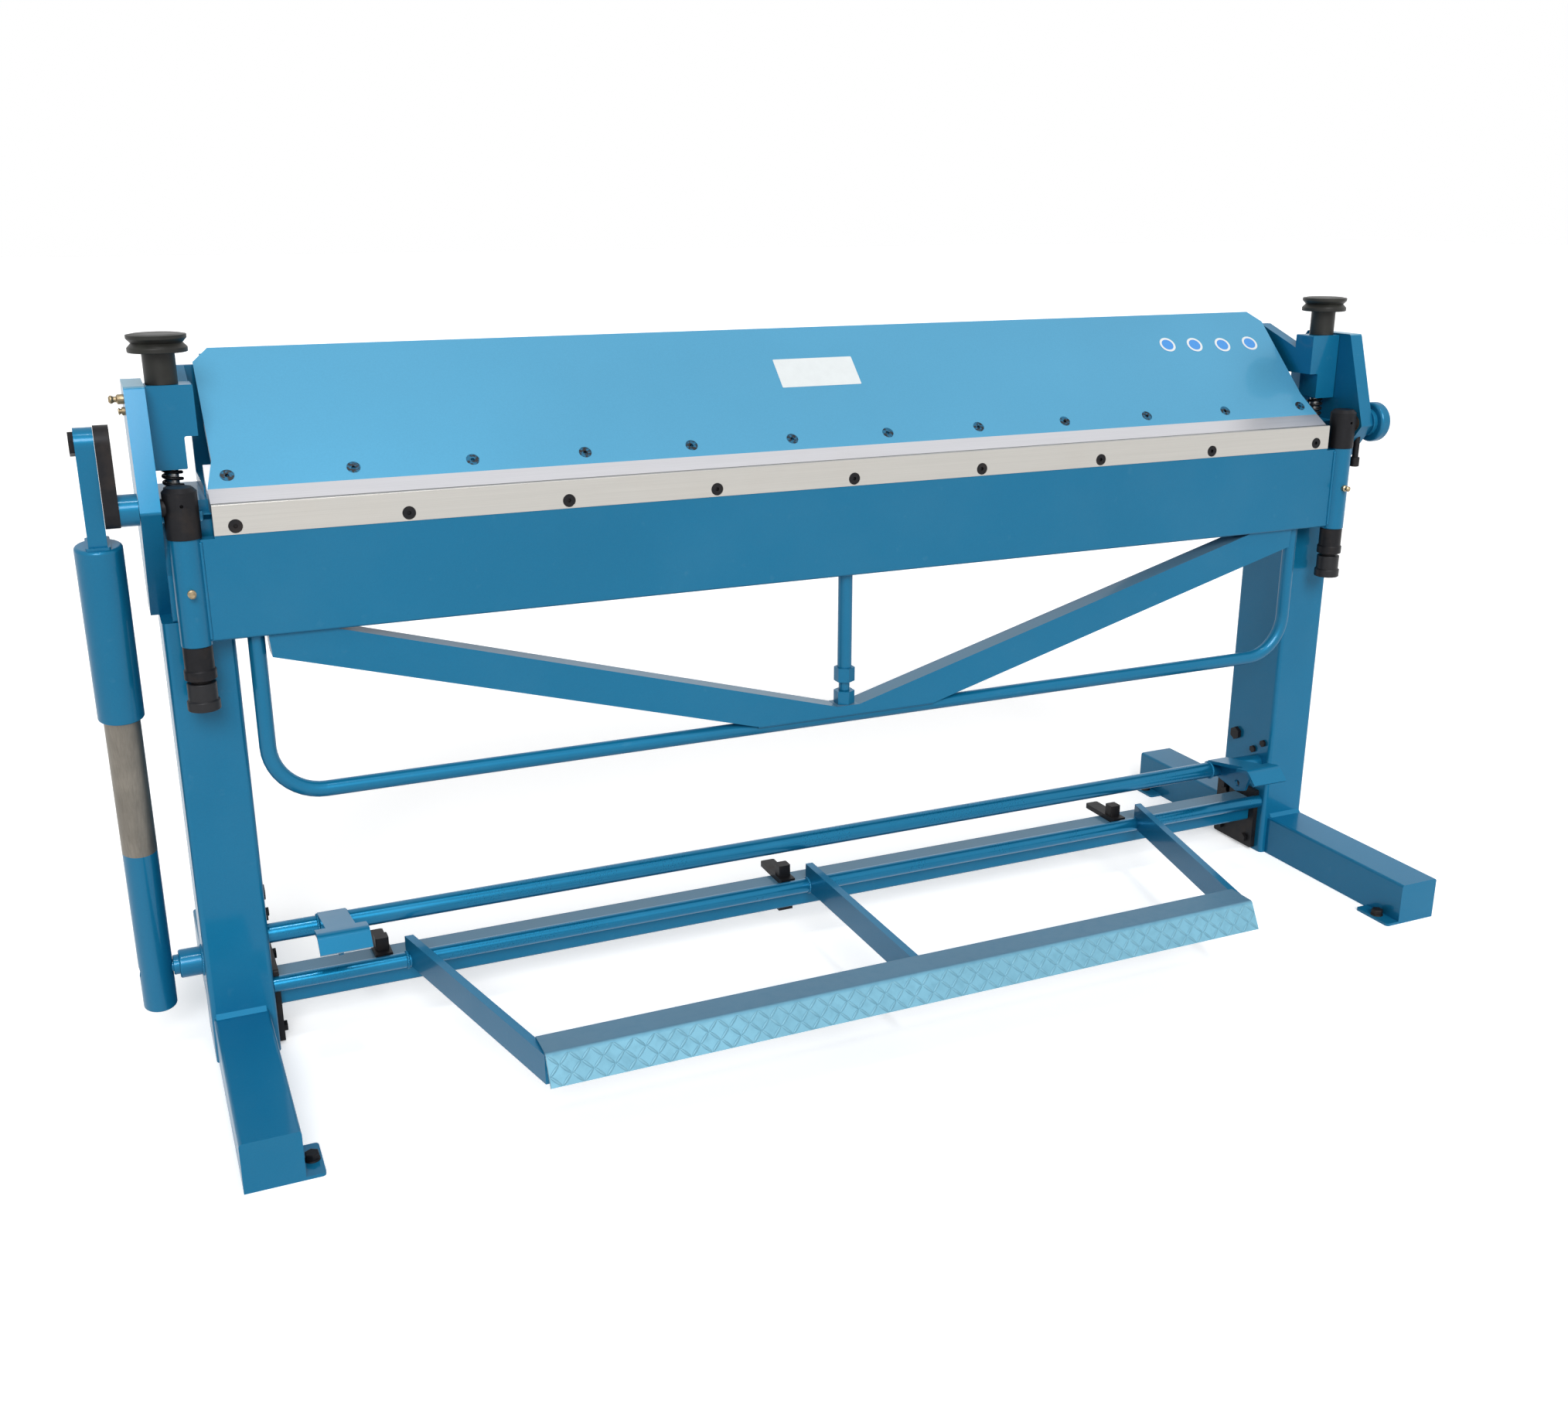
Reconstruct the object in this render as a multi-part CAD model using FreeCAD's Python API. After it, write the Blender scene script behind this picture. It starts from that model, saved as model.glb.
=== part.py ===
"""Manual folding machine with a foot operated clamping beam, 2 m working length.

Millimetres, +Z up, +Y towards the back, X along the working length. The origin
lies on the floor, midway between the four floor anchor holes. The machine is
drawn at rest: beam clamped, pedal level, folding beam hanging.
"""

import FreeCAD, Part
import math
import os

V = FreeCAD.Vector

# Folding axis, the line that the beams meet on, and half the working length
FOLD_Y = -75.0
FOLD_Z = 910.0
WORK_HALF = 1020.0

# Fit values
RUN = 0.06
GAP = 0.4
SIDE_GAP = 0.6

# Legs, feet and floor tabs
LEG_INSET = 17.0
LEG_IN = WORK_HALF - LEG_INSET
LEG_WIDTH = 100.0
LEG_FRONT = -30.0
LEG_DEPTH = 140.0
BED_DEPTH = 179.0
LEG_TOP = FOLD_Z - BED_DEPTH
LEG_WALL = 6.0
LEG_FLOOR = 5.0
LEG_CORNER = 8.0
FOOT_WIDTH = 85.0
FOOT_HEIGHT = 80.0
FOOT_WALL = 5.0
FOOT_OUTSET = 3.0
FOOT_FRONT = -412.0
FOOT_REAR = 412.0
FOOT_OUT = LEG_IN + LEG_WIDTH - FOOT_OUTSET
FOOT_IN = FOOT_OUT - FOOT_WIDTH
WELD = 7.0
TAB_THICK = 5.0
TAB_REACH = 28.0
TAB_LENGTH = 83.0
ANCHOR_X = FOOT_IN - TAB_REACH / 2
ANCHOR_Y = 370.0
ANCHOR_R = 7.0

# Side plates and their bushes
PLATE_ASIDE = 67.0
PLATE_IN = WORK_HALF + PLATE_ASIDE
PLATE_THICK = 28.0
PLATE_OUT = PLATE_IN + PLATE_THICK
PLATE_RISE = 166.0
PLATE_TOP = FOLD_Z + PLATE_RISE
PLATE_PEAK_Y = -42.0
PLATE_NOSE_Y = -98.0
PLATE_NOSE_DROP = 4.0
PLATE_FOOT_Y = 33.0
PLATE_REAR_Y = 76.0
PLATE_REAR_FALL = 46.0
BUSH_R = 16.0
JOURNAL_R = 13.0

# Bed
BED_REAR = 140.0
BED_BACK = 110.0
BED_WALL = 10.0
BED_STEP = 15.0
BED_UNDER = FOLD_Z - BED_STEP
BED_REBATE = -30.0
BED_FACE = -28.0
BED_SHELF_Y = -46.0
BED_LIP_Y = -58.0
BED_SHELF_TOP = BED_UNDER - 11.0
BED_SHELF_LOW = BED_UNDER - 49.0
BED_FACE_TOP = BED_UNDER - 93.0
BED_EDGE_GAP = 0.5
HEAD_SWEEP_R = 40.0
NOTCH_ASIDE = 10.0

# Flat headed socket screws of the folding blade and the nose bar
SCREW_R = 5.0
SCREW_HEAD_R = 10.0
SCREW_RIM = 0.6
SCREW_SUNK = 0.5
SCREW_LENGTH = 24.0
SCREW_KEY_AF = 6.0
SCREW_KEY_DEEP = 3.6
SCREW_END = 30.0

# Pull rods and clamping beam
ROD_ASIDE = 42.0
ROD_X = WORK_HALF + ROD_ASIDE
ROD_Y = 10.0
ROD_R = 9.0
ROD_BUSH_R = 14.0
CLAMP_TRAVEL = 45.0
SLOPE_LOW = (-47.0, FOLD_Z + 17.0)
SLOPE_HIGH = (144.0, FOLD_Z + 200.0)
SLOPE_THICK = 12.0
SOLE_THICK = 15.0
BACK_THICK = 12.0
RIB_THICK = 10.0
RIB_END = 30.0
NOSE_BOLTS = 12
NOSE_BOLT_UP = 23.0
BLOCK_ASIDE = 2.0
BLOCK_IN = WORK_HALF + BLOCK_ASIDE
BLOCK_WIDTH = 64.0
BLOCK_OUT = BLOCK_IN + BLOCK_WIDTH
BLOCK_FRONT = -14.0
BLOCK_BACK = 34.0
BLOCK_RISE = 43.0
BLOCK_TALL = 120.0
BLOCK_LOW = FOLD_Z + BLOCK_RISE
BLOCK_TOP = BLOCK_LOW + BLOCK_TALL
BLOCK_NOTCH_DEEP = 19.0
BLOCK_NOTCH_TALL = 47.0
BLOCK_NOTCH_X = BLOCK_IN + BLOCK_NOTCH_DEEP
BLOCK_NOTCH_Z = BLOCK_LOW + BLOCK_NOTCH_TALL
CHEEK_THICK = 24.0
CHEEK_TALL = 48.0
FRAME_MID_TALL = 86.0
FRAME_TOP = BLOCK_NOTCH_Z + FRAME_MID_TALL
FRAME_HIGH_INSET = 22.0
KNOB_NECK_R = 22.5
KNOB_NECK_TALL = 44.6
KNOB_DISC_R = 41.0
KNOB_DISC_TALL = 26.0
KNOB_NECK_TOP = BLOCK_TOP + GAP + KNOB_NECK_TALL
KNOB_TOP = KNOB_NECK_TOP + KNOB_DISC_TALL
SPRING_WIRE_R = 2.4
SPRING_R = 12.9
SPRING_TURNS = 4

# Folding beam
APRON_FRONT = -84.0
APRON_BACK = -35.0
APRON_WALL = 8.0
APRON_ASIDE = 25.0
APRON_END = WORK_HALF + APRON_ASIDE
BLADE_TALL = 44.0
APRON_LIP = FOLD_Z - BLADE_TALL
APRON_TALL = 155.0
APRON_LOW = APRON_LIP - APRON_TALL
LIP_TALL = 24.0
LIP_THICK = 20.0
BLADE_FRONT = -85.0
BLADE_SCREWS = 9
BLADE_SCREW_UP = 12.0
BARREL_ASIDE = 40.0
BARREL_X = WORK_HALF + BARREL_ASIDE
BARREL_R = 22.0
BARREL_BELOW = 5.0
BARREL_LOW = APRON_LOW - BARREL_BELOW
BARREL_TALL = 159.0
BARREL_TOP = BARREL_LOW + BARREL_TALL
HEAD_R = 24.0
HEAD_ABOVE = 28.0
HEAD_TOP = FOLD_Z + HEAD_ABOVE
SPINDLE_R = 14.0
SPINDLE_BELOW = 94.0
SPINDLE_END = BARREL_LOW - SPINDLE_BELOW
ADJUST_TALL = 50.0
ADJUST_LOW = BARREL_LOW - ADJUST_TALL
RING_R = 23.0
RING_TALL = 14.0
LOCK_TALL = 42.0
LOCK_LOW = SPINDLE_END - 3.0

# Grease nipples: radius, reach and place
PLATE_NIPPLE_R = 7.0
PLATE_NIPPLE_REACH = 20.0
PLATE_NIPPLE_DROP = 22.0
PLUG_R = 6.0
PLUG_REACH = 9.0
PLUG_DROP = 17.0
BARREL_NIPPLE_R = 6.0
BARREL_NIPPLE_REACH = 15.0
BARREL_NIPPLE_UP = 82.0

# Truss and handle under the folding beam
HANDLE_R = 12.5
HANDLE_BORE = 10.0
HANDLE_INSET = 44.0
HANDLE_X = WORK_HALF - HANDLE_INSET
HANDLE_Y = -55.0
HANDLE_DROP = 260.0
HANDLE_LOW = APRON_LOW - HANDLE_DROP
HANDLE_BEND = 80.0
BRACE_FRONT = -75.0
BRACE_BACK = -35.0
BRACE_WALL = 4.0
BRACE_SADDLE = 7.0
BRACE_MID_TALL = 11.0
BRACE_MID_LOW = HANDLE_LOW + BRACE_SADDLE
BRACE_MID_TOP = BRACE_MID_LOW + BRACE_MID_TALL
BRACE_PAD_TALL = 6.0
BRACE_PAD_TOP = BRACE_MID_TOP + BRACE_PAD_TALL
BRACE_INSET = 60.0
BRACE_END = WORK_HALF - BRACE_INSET
BRACE_TOP_FLAT = 95.7
BRACE_END_TALL = 35.0
BRACE_FLAT = 172.0
TRUSS_OPEN = 66.0
TRUSS_TUBE_LOW = BRACE_PAD_TOP + TRUSS_OPEN
TRUSS_STUD_R = 9.0
TRUSS_STUD_DEEP = 10.0
TRUSS_STUD_UP = 50.0
TRUSS_STUD_LOW = BRACE_PAD_TOP - TRUSS_STUD_DEEP
TRUSS_NUT_AF = 32.0
TRUSS_NUT_TALL = 23.0
TRUSS_LOCK_TALL = 25.0

# Left crank and strut
STUB_R = 22.5
STUB_LENGTH = 25.4
CRANK_THICK = 20.0
CRANK_R = 24.0
CRANK_REACH = 96.0
CRANK_IN = PLATE_OUT + SIDE_GAP + STUB_LENGTH
CRANK_OUT = CRANK_IN + CRANK_THICK
EYE_THICK = 25.0
EYE_R = 22.0
STRUT_X = CRANK_OUT + GAP + EYE_THICK / 2
STRUT_Y = 40.0
STRUT_Z = 153.0
STRUT_RISE = FOLD_Z + CRANK_REACH - STRUT_Z
STRUT_LEAN = math.degrees(math.atan2(STRUT_Y - FOLD_Y, STRUT_RISE))
STRUT_LENGTH = math.hypot(STRUT_Y - FOLD_Y, STRUT_RISE)
TUBE_R = 25.5
TUBE_BORE = 22.0
TUBE_BELOW = 69.0
TUBE_FLOOR = 8.0
SLEEVE_R = 32.5
EYE_NECK = 146.7
SLEEVE_LENGTH = 268.0
SLEEVE_TOP = STRUT_LENGTH - EYE_NECK
SLEEVE_LOW = SLEEVE_TOP - SLEEVE_LENGTH
SLEEVE_CAP = 14.0
SLEEVE_STROKE = 180.0
TUBE_TOP = SLEEVE_TOP - SLEEVE_CAP - SLEEVE_STROKE
BOSS_R = 23.0
BOSS_LENGTH = 36.0
BOSS_NECK_R = 16.0
STRUT_PIN_R = 10.0
STRUT_PIN_SHORT = 2.1
PISTON_R = 6.0
GAS_R = 14.0

# Right pivot
COLLAR_R = 26.0
COLLAR_LENGTH = 9.0
COLLAR_OUT = PLATE_OUT + COLLAR_LENGTH
DISC_R = 38.0
DISC_THICK = 25.0
DISC_SKIN = 4.0
DISC_OUT = COLLAR_OUT + GAP + DISC_THICK
CLAMP_SCREW_X = PLATE_IN + PLATE_THICK / 2
CLAMP_SCREW_R = 6.0
CLAMP_HEAD_R = 9.0
CLAMP_HEAD_TALL = 18.0
CLAMP_HEAD_DROP = 85.0
CLAMP_HEAD_LOW = FOLD_Z - CLAMP_HEAD_DROP

# Crossbar, end plates and straps
BAR_FRONT = 6.0
BAR_SIZE = 50.0
BAR_LOW = 64.0
BAR_WALL = 4.0
END_PLATE = 10.0
STRAP_WIDTH = 28.0
STRAP_THICK = 10.0
STRAP_ASIDE = 42.0
STRAP_BOLT_IN = 20.0
STRAP_BOLT_R = 6.0

# Pedal
PEDAL_Y = -10.0
PEDAL_Z = 111.0
PEDAL_R = 13.0
PEDAL_END_R = 10.0
PEDAL_SWING = 28.0
PEDAL_MID = -41.0
ARM_REAR_HALF = 739.0
ARM_FRONT_HALF = 629.0
ARM_THICK = 14.0
ARM_BELOW = 9.0
ARM_TALL = 48.0
ARM_LOW = PEDAL_Z - ARM_BELOW
ARM_HIGH = ARM_LOW + ARM_TALL
ARM_BACK = 0.0
ARM_FRONT = -468.0
TREAD_BACK = -419.0
TREAD_BEND = -473.0
TREAD_FRONT = -497.0
TREAD_DROP = 44.0
TREAD_THICK = 5.0

# Release shaft
RELEASE_Y = 6.0
RELEASE_Z = 195.0
RELEASE_R = 16.0
RELEASE_PEDAL_INSET = 103.0
RELEASE_PEDAL_X = LEG_IN - RELEASE_PEDAL_INSET

# Linkage inside each leg
ROCKER_Y = 75.0
ROCKER_Z = 238.0
ROCKER_SHORT = 20.0
ROCKER_THICK = 12.0
ROCKER_X = ROD_X - ROCKER_THICK / 2
ROCKER_BOLT_R = 8.0
LINK_THICK = 8.0
LINK_ASIDE = 5.0
LINK_X = ROCKER_X - LINK_ASIDE - LINK_THICK
CRANK_PLATE = 12.0
CRANK_ASIDE = 1.0
CRANK_X = LINK_X - CRANK_ASIDE - CRANK_PLATE
CATCH_ASIDE = 5.0
CATCH_X = LEG_IN + LEG_WALL + CATCH_ASIDE
CATCH_THICK = 10.0
CATCH_R = 44.0
LINK_PIN_R = 6.0
LINK_TOP_PIN_R = 5.0
LINK_TOP_PLAY = 0.8
FORK_PIN_R = 6.0
FORK_PLAY = 0.7


def box(x0, x1, y0, y1, z0, z1):
    """Axis aligned block between the given limits."""
    return Part.makeBox(x1 - x0, y1 - y0, z1 - z0, V(x0, y0, z0))


def rod_x(y, z, r, x0, x1):
    """Round bar along X."""
    return Part.makeCylinder(r, x1 - x0, V(x0, y, z), V(1, 0, 0))


def rod_y(x, z, r, y0, y1):
    """Round bar along Y."""
    return Part.makeCylinder(r, y1 - y0, V(x, y0, z), V(0, 1, 0))


def rod_z(x, y, r, z0, z1):
    """Round bar along Z."""
    return Part.makeCylinder(r, z1 - z0, V(x, y, z0), V(0, 0, 1))


def corner_arc(before, here, after, radius):
    """Tangent points and middle point of the arc that rounds one corner."""
    a = (before[0] - here[0], before[1] - here[1])
    b = (after[0] - here[0], after[1] - here[1])
    la = math.hypot(*a)
    lb = math.hypot(*b)
    a = (a[0] / la, a[1] / la)
    b = (b[0] / lb, b[1] / lb)
    half = math.acos(max(-1.0, min(1.0, a[0] * b[0] + a[1] * b[1]))) / 2
    back = radius / math.tan(half)
    mid = (a[0] + b[0], a[1] + b[1])
    lm = math.hypot(*mid)
    reach = radius / math.sin(half)
    centre = (here[0] + mid[0] / lm * reach, here[1] + mid[1] / lm * reach)
    start = (here[0] + a[0] * back, here[1] + a[1] * back)
    end = (here[0] + b[0] * back, here[1] + b[1] * back)
    top = (centre[0] - mid[0] / lm * radius, centre[1] - mid[1] / lm * radius)
    return start, top, end


def outline(points, place):
    """Closed wire through (u, v) or (u, v, radius) corners, set in space by place."""
    runs = []
    count = len(points)
    for i, point in enumerate(points):
        radius = point[2] if len(point) > 2 else 0.0
        if radius > 0:
            runs.append(corner_arc(points[i - 1], point, points[(i + 1) % count], radius))
        else:
            runs.append((point[:2],))
    edges = []
    for i, run in enumerate(runs):
        if len(run) == 3:
            edges.append(Part.Arc(place(*run[0]), place(*run[1]), place(*run[2])).toShape())
        start = place(*run[-1])
        end = place(*runs[(i + 1) % count][0])
        if start.distanceToPoint(end) > 1e-6:
            edges.append(Part.makeLine(start, end))
    return Part.Wire(edges)


def prism_x(points, x0, x1):
    """Solid with a (y, z) outline, drawn out along X."""
    wire = outline(points, lambda u, v: V(x0, u, v))
    return Part.Face(wire).extrude(V(x1 - x0, 0, 0))


def prism_y(points, y0, y1):
    """Solid with an (x, z) outline, drawn out along Y."""
    wire = outline(points, lambda u, v: V(u, y0, v))
    return Part.Face(wire).extrude(V(0, y1 - y0, 0))


def prism_z(points, z0, z1):
    """Solid with an (x, y) outline, drawn out along Z."""
    wire = outline(points, lambda u, v: V(u, v, z0))
    return Part.Face(wire).extrude(V(0, 0, z1 - z0))


def turned_z(points, x, y):
    """Turned part with a (radius, z) outline about an upright axis."""
    wire = outline(points, lambda u, v: V(x + u, y, v))
    return Part.Face(wire).revolve(V(x, y, 0), V(0, 0, 1), 360)


def turned_x(points, y, z):
    """Turned part with an (x, radius) outline about an axis along X."""
    wire = outline(points, lambda u, v: V(u, y + v, z))
    return Part.Face(wire).revolve(V(0, y, z), V(1, 0, 0), 360)


def hexagon(x, y, z, across, tall, axis):
    """Hexagon bar from a point along an axis, given by its width across flats."""
    r = across / math.sqrt(3)
    points = []
    for i in range(7):
        turn = math.radians(60 * i + 30)
        points.append((r * math.cos(turn), r * math.sin(turn)))
    if axis == "z":
        wire = Part.makePolygon([V(x + a, y + b, z) for a, b in points])
        return Part.Face(wire).extrude(V(0, 0, tall))
    wire = Part.makePolygon([V(x, y + a, z + b) for a, b in points])
    return Part.Face(wire).extrude(V(tall, 0, 0))


def hexagon_along(at, way, across, deep):
    """Hexagon bar from a point along a direction square to X."""
    side = V(1, 0, 0)
    up = way.cross(side)
    r = across / math.sqrt(3)
    points = []
    for i in range(7):
        turn = math.radians(60 * i)
        points.append(at + side * (r * math.cos(turn)) + up * (r * math.sin(turn)))
    return Part.Face(Part.makePolygon(points)).extrude(way * deep)


def flat_screw(at, way):
    """Flat headed screw set into a surface at a point, its shank along way."""
    top = at + way * SCREW_SUNK
    under = top + way * SCREW_RIM
    taper = SCREW_HEAD_R - SCREW_R
    neck = under + way * taper
    rim = Part.makeCylinder(SCREW_HEAD_R, SCREW_RIM, top, way)
    cone = Part.makeCone(SCREW_HEAD_R, SCREW_R, taper, under, way)
    length = SCREW_LENGTH - SCREW_SUNK - SCREW_RIM - taper
    body = join([rim, cone, Part.makeCylinder(SCREW_R, length, neck, way)])
    return body.cut(hexagon_along(top, way, SCREW_KEY_AF, SCREW_KEY_DEEP))


def flat_screw_hole(at, way):
    """Shape cut away for one flat headed screw: open mouth, taper and bore."""
    mouth_deep = SCREW_SUNK + SCREW_RIM
    taper = SCREW_HEAD_R - SCREW_R
    mouth = Part.makeCylinder(SCREW_HEAD_R + GAP, mouth_deep + 1, at - way, way)
    cone = Part.makeCone(SCREW_HEAD_R, SCREW_R, taper, at + way * mouth_deep, way)
    bore = Part.makeCylinder(SCREW_R, SCREW_LENGTH + 1, at, way)
    return join([mouth, cone, bore])


def nipple(foot, way, radius, reach):
    """Grease nipple standing on a point: base, waist and rounded tip about way."""
    profile = [(0, 0), (1, 0), (1, 0.4), (0.6, 0.5), (0.6, 0.65), (0.85, 0.8), (0.85, 0.88),
               (0.5, 1), (0, 1), (0, 0)]
    rise = V(0, 0, 1)
    points = [foot + rise * (r * radius) + way * (out * reach) for r, out in profile]
    return Part.Face(Part.makePolygon(points)).revolve(foot, way, 360)


def join(shapes):
    """One solid from shapes that share faces or overlap."""
    whole = shapes[0]
    for shape in shapes[1:]:
        whole = whole.fuse(shape)
    return whole.removeSplitter()


def both(shape):
    """A shape and its mirror image at the other end."""
    return [shape, mirrored(shape)]


def mirrored(shape):
    return shape.mirror(V(0, 0, 0), V(1, 0, 0))


def around(y, z, points):
    """Outline corners measured from (y, z), their radii kept."""
    return [(p[0] + y, p[1] + z) + tuple(p[2:]) for p in points]


def polar(y, z, reach, degrees):
    """Point at a distance and angle from (y, z), the angle measured up from +Y."""
    turn = math.radians(degrees)
    return y + reach * math.cos(turn), z + reach * math.sin(turn)


def bar_between(a, b, half, x0, x1):
    """Round ended flat bar between two (y, z) points."""
    ya, za = a
    yb, zb = b
    run = math.hypot(yb - ya, zb - za)
    ny = -(zb - za) / run * half
    nz = (yb - ya) / run * half
    corners = [(ya + ny, za + nz), (yb + ny, zb + nz), (yb - ny, zb - nz), (ya - ny, za - nz)]
    flat = prism_x(corners, x0, x1)
    return join([flat, rod_x(ya, za, half, x0, x1), rod_x(yb, zb, half, x0, x1)])


# Slope of the clamping beam's front plate
SLOPE_RUN = SLOPE_HIGH[0] - SLOPE_LOW[0]
SLOPE_RISE = SLOPE_HIGH[1] - SLOPE_LOW[1]
SLOPE_LENGTH = math.hypot(SLOPE_RUN, SLOPE_RISE)
SLOPE_U = (SLOPE_RUN / SLOPE_LENGTH, SLOPE_RISE / SLOPE_LENGTH)
SLOPE_IN = (SLOPE_U[1], -SLOPE_U[0])


def under_slope(y):
    """Height of the front plate's underside at a depth y."""
    y0 = SLOPE_LOW[0] + SLOPE_IN[0] * SLOPE_THICK
    z0 = SLOPE_LOW[1] + SLOPE_IN[1] * SLOPE_THICK
    return z0 + (y - y0) * SLOPE_RISE / SLOPE_RUN


# Linkage: the pedal crank and the rocker's short arm stay parallel to first
# order, square to the link at mid travel.
ROCKER_LONG = ROCKER_Y - ROD_Y
ROCKER_SWING = 2 * math.degrees(math.atan2(CLAMP_TRAVEL / 2, ROCKER_LONG))
CRANK_THROW = ROCKER_SHORT * math.sin(math.radians(ROCKER_SWING / 2))
CRANK_THROW = CRANK_THROW / math.sin(math.radians(PEDAL_SWING / 2))
CENTRES = math.hypot(ROCKER_Y - PEDAL_Y, ROCKER_Z - PEDAL_Z)
LINK_LEAN = math.degrees(math.atan2(ROCKER_Y - PEDAL_Y, ROCKER_Z - PEDAL_Z))
LINK_LEAN = LINK_LEAN - math.degrees(math.asin((CRANK_THROW - ROCKER_SHORT) / CENTRES))
CRANK_PIN = polar(PEDAL_Y, PEDAL_Z, CRANK_THROW, PEDAL_SWING / 2 - LINK_LEAN)
ROCKER_PIN = polar(ROCKER_Y, ROCKER_Z, ROCKER_SHORT, ROCKER_SWING / 2 - LINK_LEAN)
FORK_PIN_Z = ROCKER_Z - CLAMP_TRAVEL / 2


def leg():
    """Right leg: closed box column with two box feet, floor tabs and bores."""
    x0 = LEG_IN
    x1 = LEG_IN + LEG_WIDTH
    y0 = LEG_FRONT
    y1 = LEG_FRONT + LEG_DEPTH
    r = LEG_CORNER
    w = LEG_WALL
    shapes = [prism_z([(x0, y0, r), (x1, y0, r), (x1, y1, r), (x0, y1, r)], 0, LEG_TOP)]
    voids = [prism_z(
        [(x0 + w, y0 + w, 2), (x1 - w, y0 + w, 2), (x1 - w, y1 - w, 2), (x0 + w, y1 - w, 2)],
        LEG_FLOOR, LEG_TOP - w)]
    fx0 = FOOT_IN
    fx1 = FOOT_OUT
    t = FOOT_WALL
    for front, back in ((FOOT_FRONT, y0), (y1, FOOT_REAR)):
        shapes.append(prism_y([(fx0, 0), (fx1, 0), (fx1, FOOT_HEIGHT, 5), (fx0, FOOT_HEIGHT, 5)],
                              front, back))
        voids.append(box(fx0 + t, fx1 - t, front + t, back - t, t, FOOT_HEIGHT - t))
    top = FOOT_HEIGHT
    shapes.append(prism_x([(y0, top), (y0 - WELD, top), (y0, top + WELD)], fx0 + 4, fx1 - 4))
    shapes.append(prism_x([(y1, top), (y1 + WELD, top), (y1, top + WELD)], fx0 + 4, fx1 - 4))
    tab = prism_z([(fx0 - TAB_REACH, FOOT_FRONT, 6), (fx0, FOOT_FRONT),
                   (fx0, FOOT_FRONT + TAB_LENGTH), (fx0 - TAB_REACH, FOOT_FRONT + TAB_LENGTH, 6)],
                  0, TAB_THICK)
    tab = tab.cut(rod_z(ANCHOR_X, -ANCHOR_Y, ANCHOR_R, -1, TAB_THICK + 1))
    shapes.append(tab)
    shapes.append(tab.mirror(V(0, 0, 0), V(0, 1, 0)))
    body = join(shapes)
    for void in voids:
        body = body.cut(void)
    bores = [
        rod_z(ROD_X, ROD_Y, ROD_R + 4, LEG_TOP - 2 * w, LEG_TOP + 1),
        rod_x(PEDAL_Y, PEDAL_Z, PEDAL_END_R + RUN, x0 - 1, x0 + 2 * w),
        rod_x(RELEASE_Y, RELEASE_Z, PEDAL_END_R + RUN, x0 - 1, x0 + 2 * w),
        rod_x(ROCKER_Y, ROCKER_Z, ROCKER_BOLT_R, x0 - 1, x0 + 2 * w),
    ]
    for y, z, screw in INNER_BOLTS:
        bores.append(rod_x(y, z, screw, x0 - 1, x0 + 2 * w))
    for bore in bores:
        body = body.cut(bore)
    return body


# Bolts on the inner face of each leg: depth, height, shank radius
INNER_BOLTS = [(-9, 240, 4), (20, 219, 4), (90, 24, 5), (90, 118, 5), (12, 22, 5), (66, 44, 5)]


def leg_left():
    """Left leg: the mirrored column with the stepped boss and pin of the strut."""
    body = mirrored(leg())
    face = LEG_IN + LEG_WIDTH
    step = face + BOSS_LENGTH
    neck = STRUT_X - TUBE_R - GAP
    tip = STRUT_X + TUBE_R - STRUT_PIN_SHORT
    boss = turned_x([(-face, 0), (-face, BOSS_R), (-step, BOSS_R, 3), (-step, BOSS_NECK_R),
                     (-neck, BOSS_NECK_R, 2), (-neck, STRUT_PIN_R), (-tip + 3, STRUT_PIN_R),
                     (-tip, STRUT_PIN_R - 3), (-tip, 0)], STRUT_Y, STRUT_Z)
    return join([body, boss])


def side_plate():
    """Right side plate with its pointed front and bushed pivot hole."""
    back = LEG_FRONT + LEG_DEPTH + 2
    nose_z = FOLD_Z - PLATE_NOSE_DROP
    points = [(PLATE_PEAK_Y, PLATE_TOP, 5), (PLATE_NOSE_Y, nose_z, 5), (PLATE_FOOT_Y, LEG_TOP),
              (back, LEG_TOP), (back, PLATE_TOP - PLATE_REAR_FALL, 30), (PLATE_REAR_Y, PLATE_TOP, 5)]
    body = prism_x(points, PLATE_IN, PLATE_OUT)
    return body.cut(rod_x(FOLD_Y, FOLD_Z, BUSH_R, PLATE_IN - 1, PLATE_OUT + 1))


def clamp_screw_bore():
    """Upright hole from under the right plate's nose, through its bush, to the shaft."""
    return rod_z(CLAMP_SCREW_X, FOLD_Y, CLAMP_SCREW_R + RUN, CLAMP_HEAD_LOW, FOLD_Z)


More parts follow.
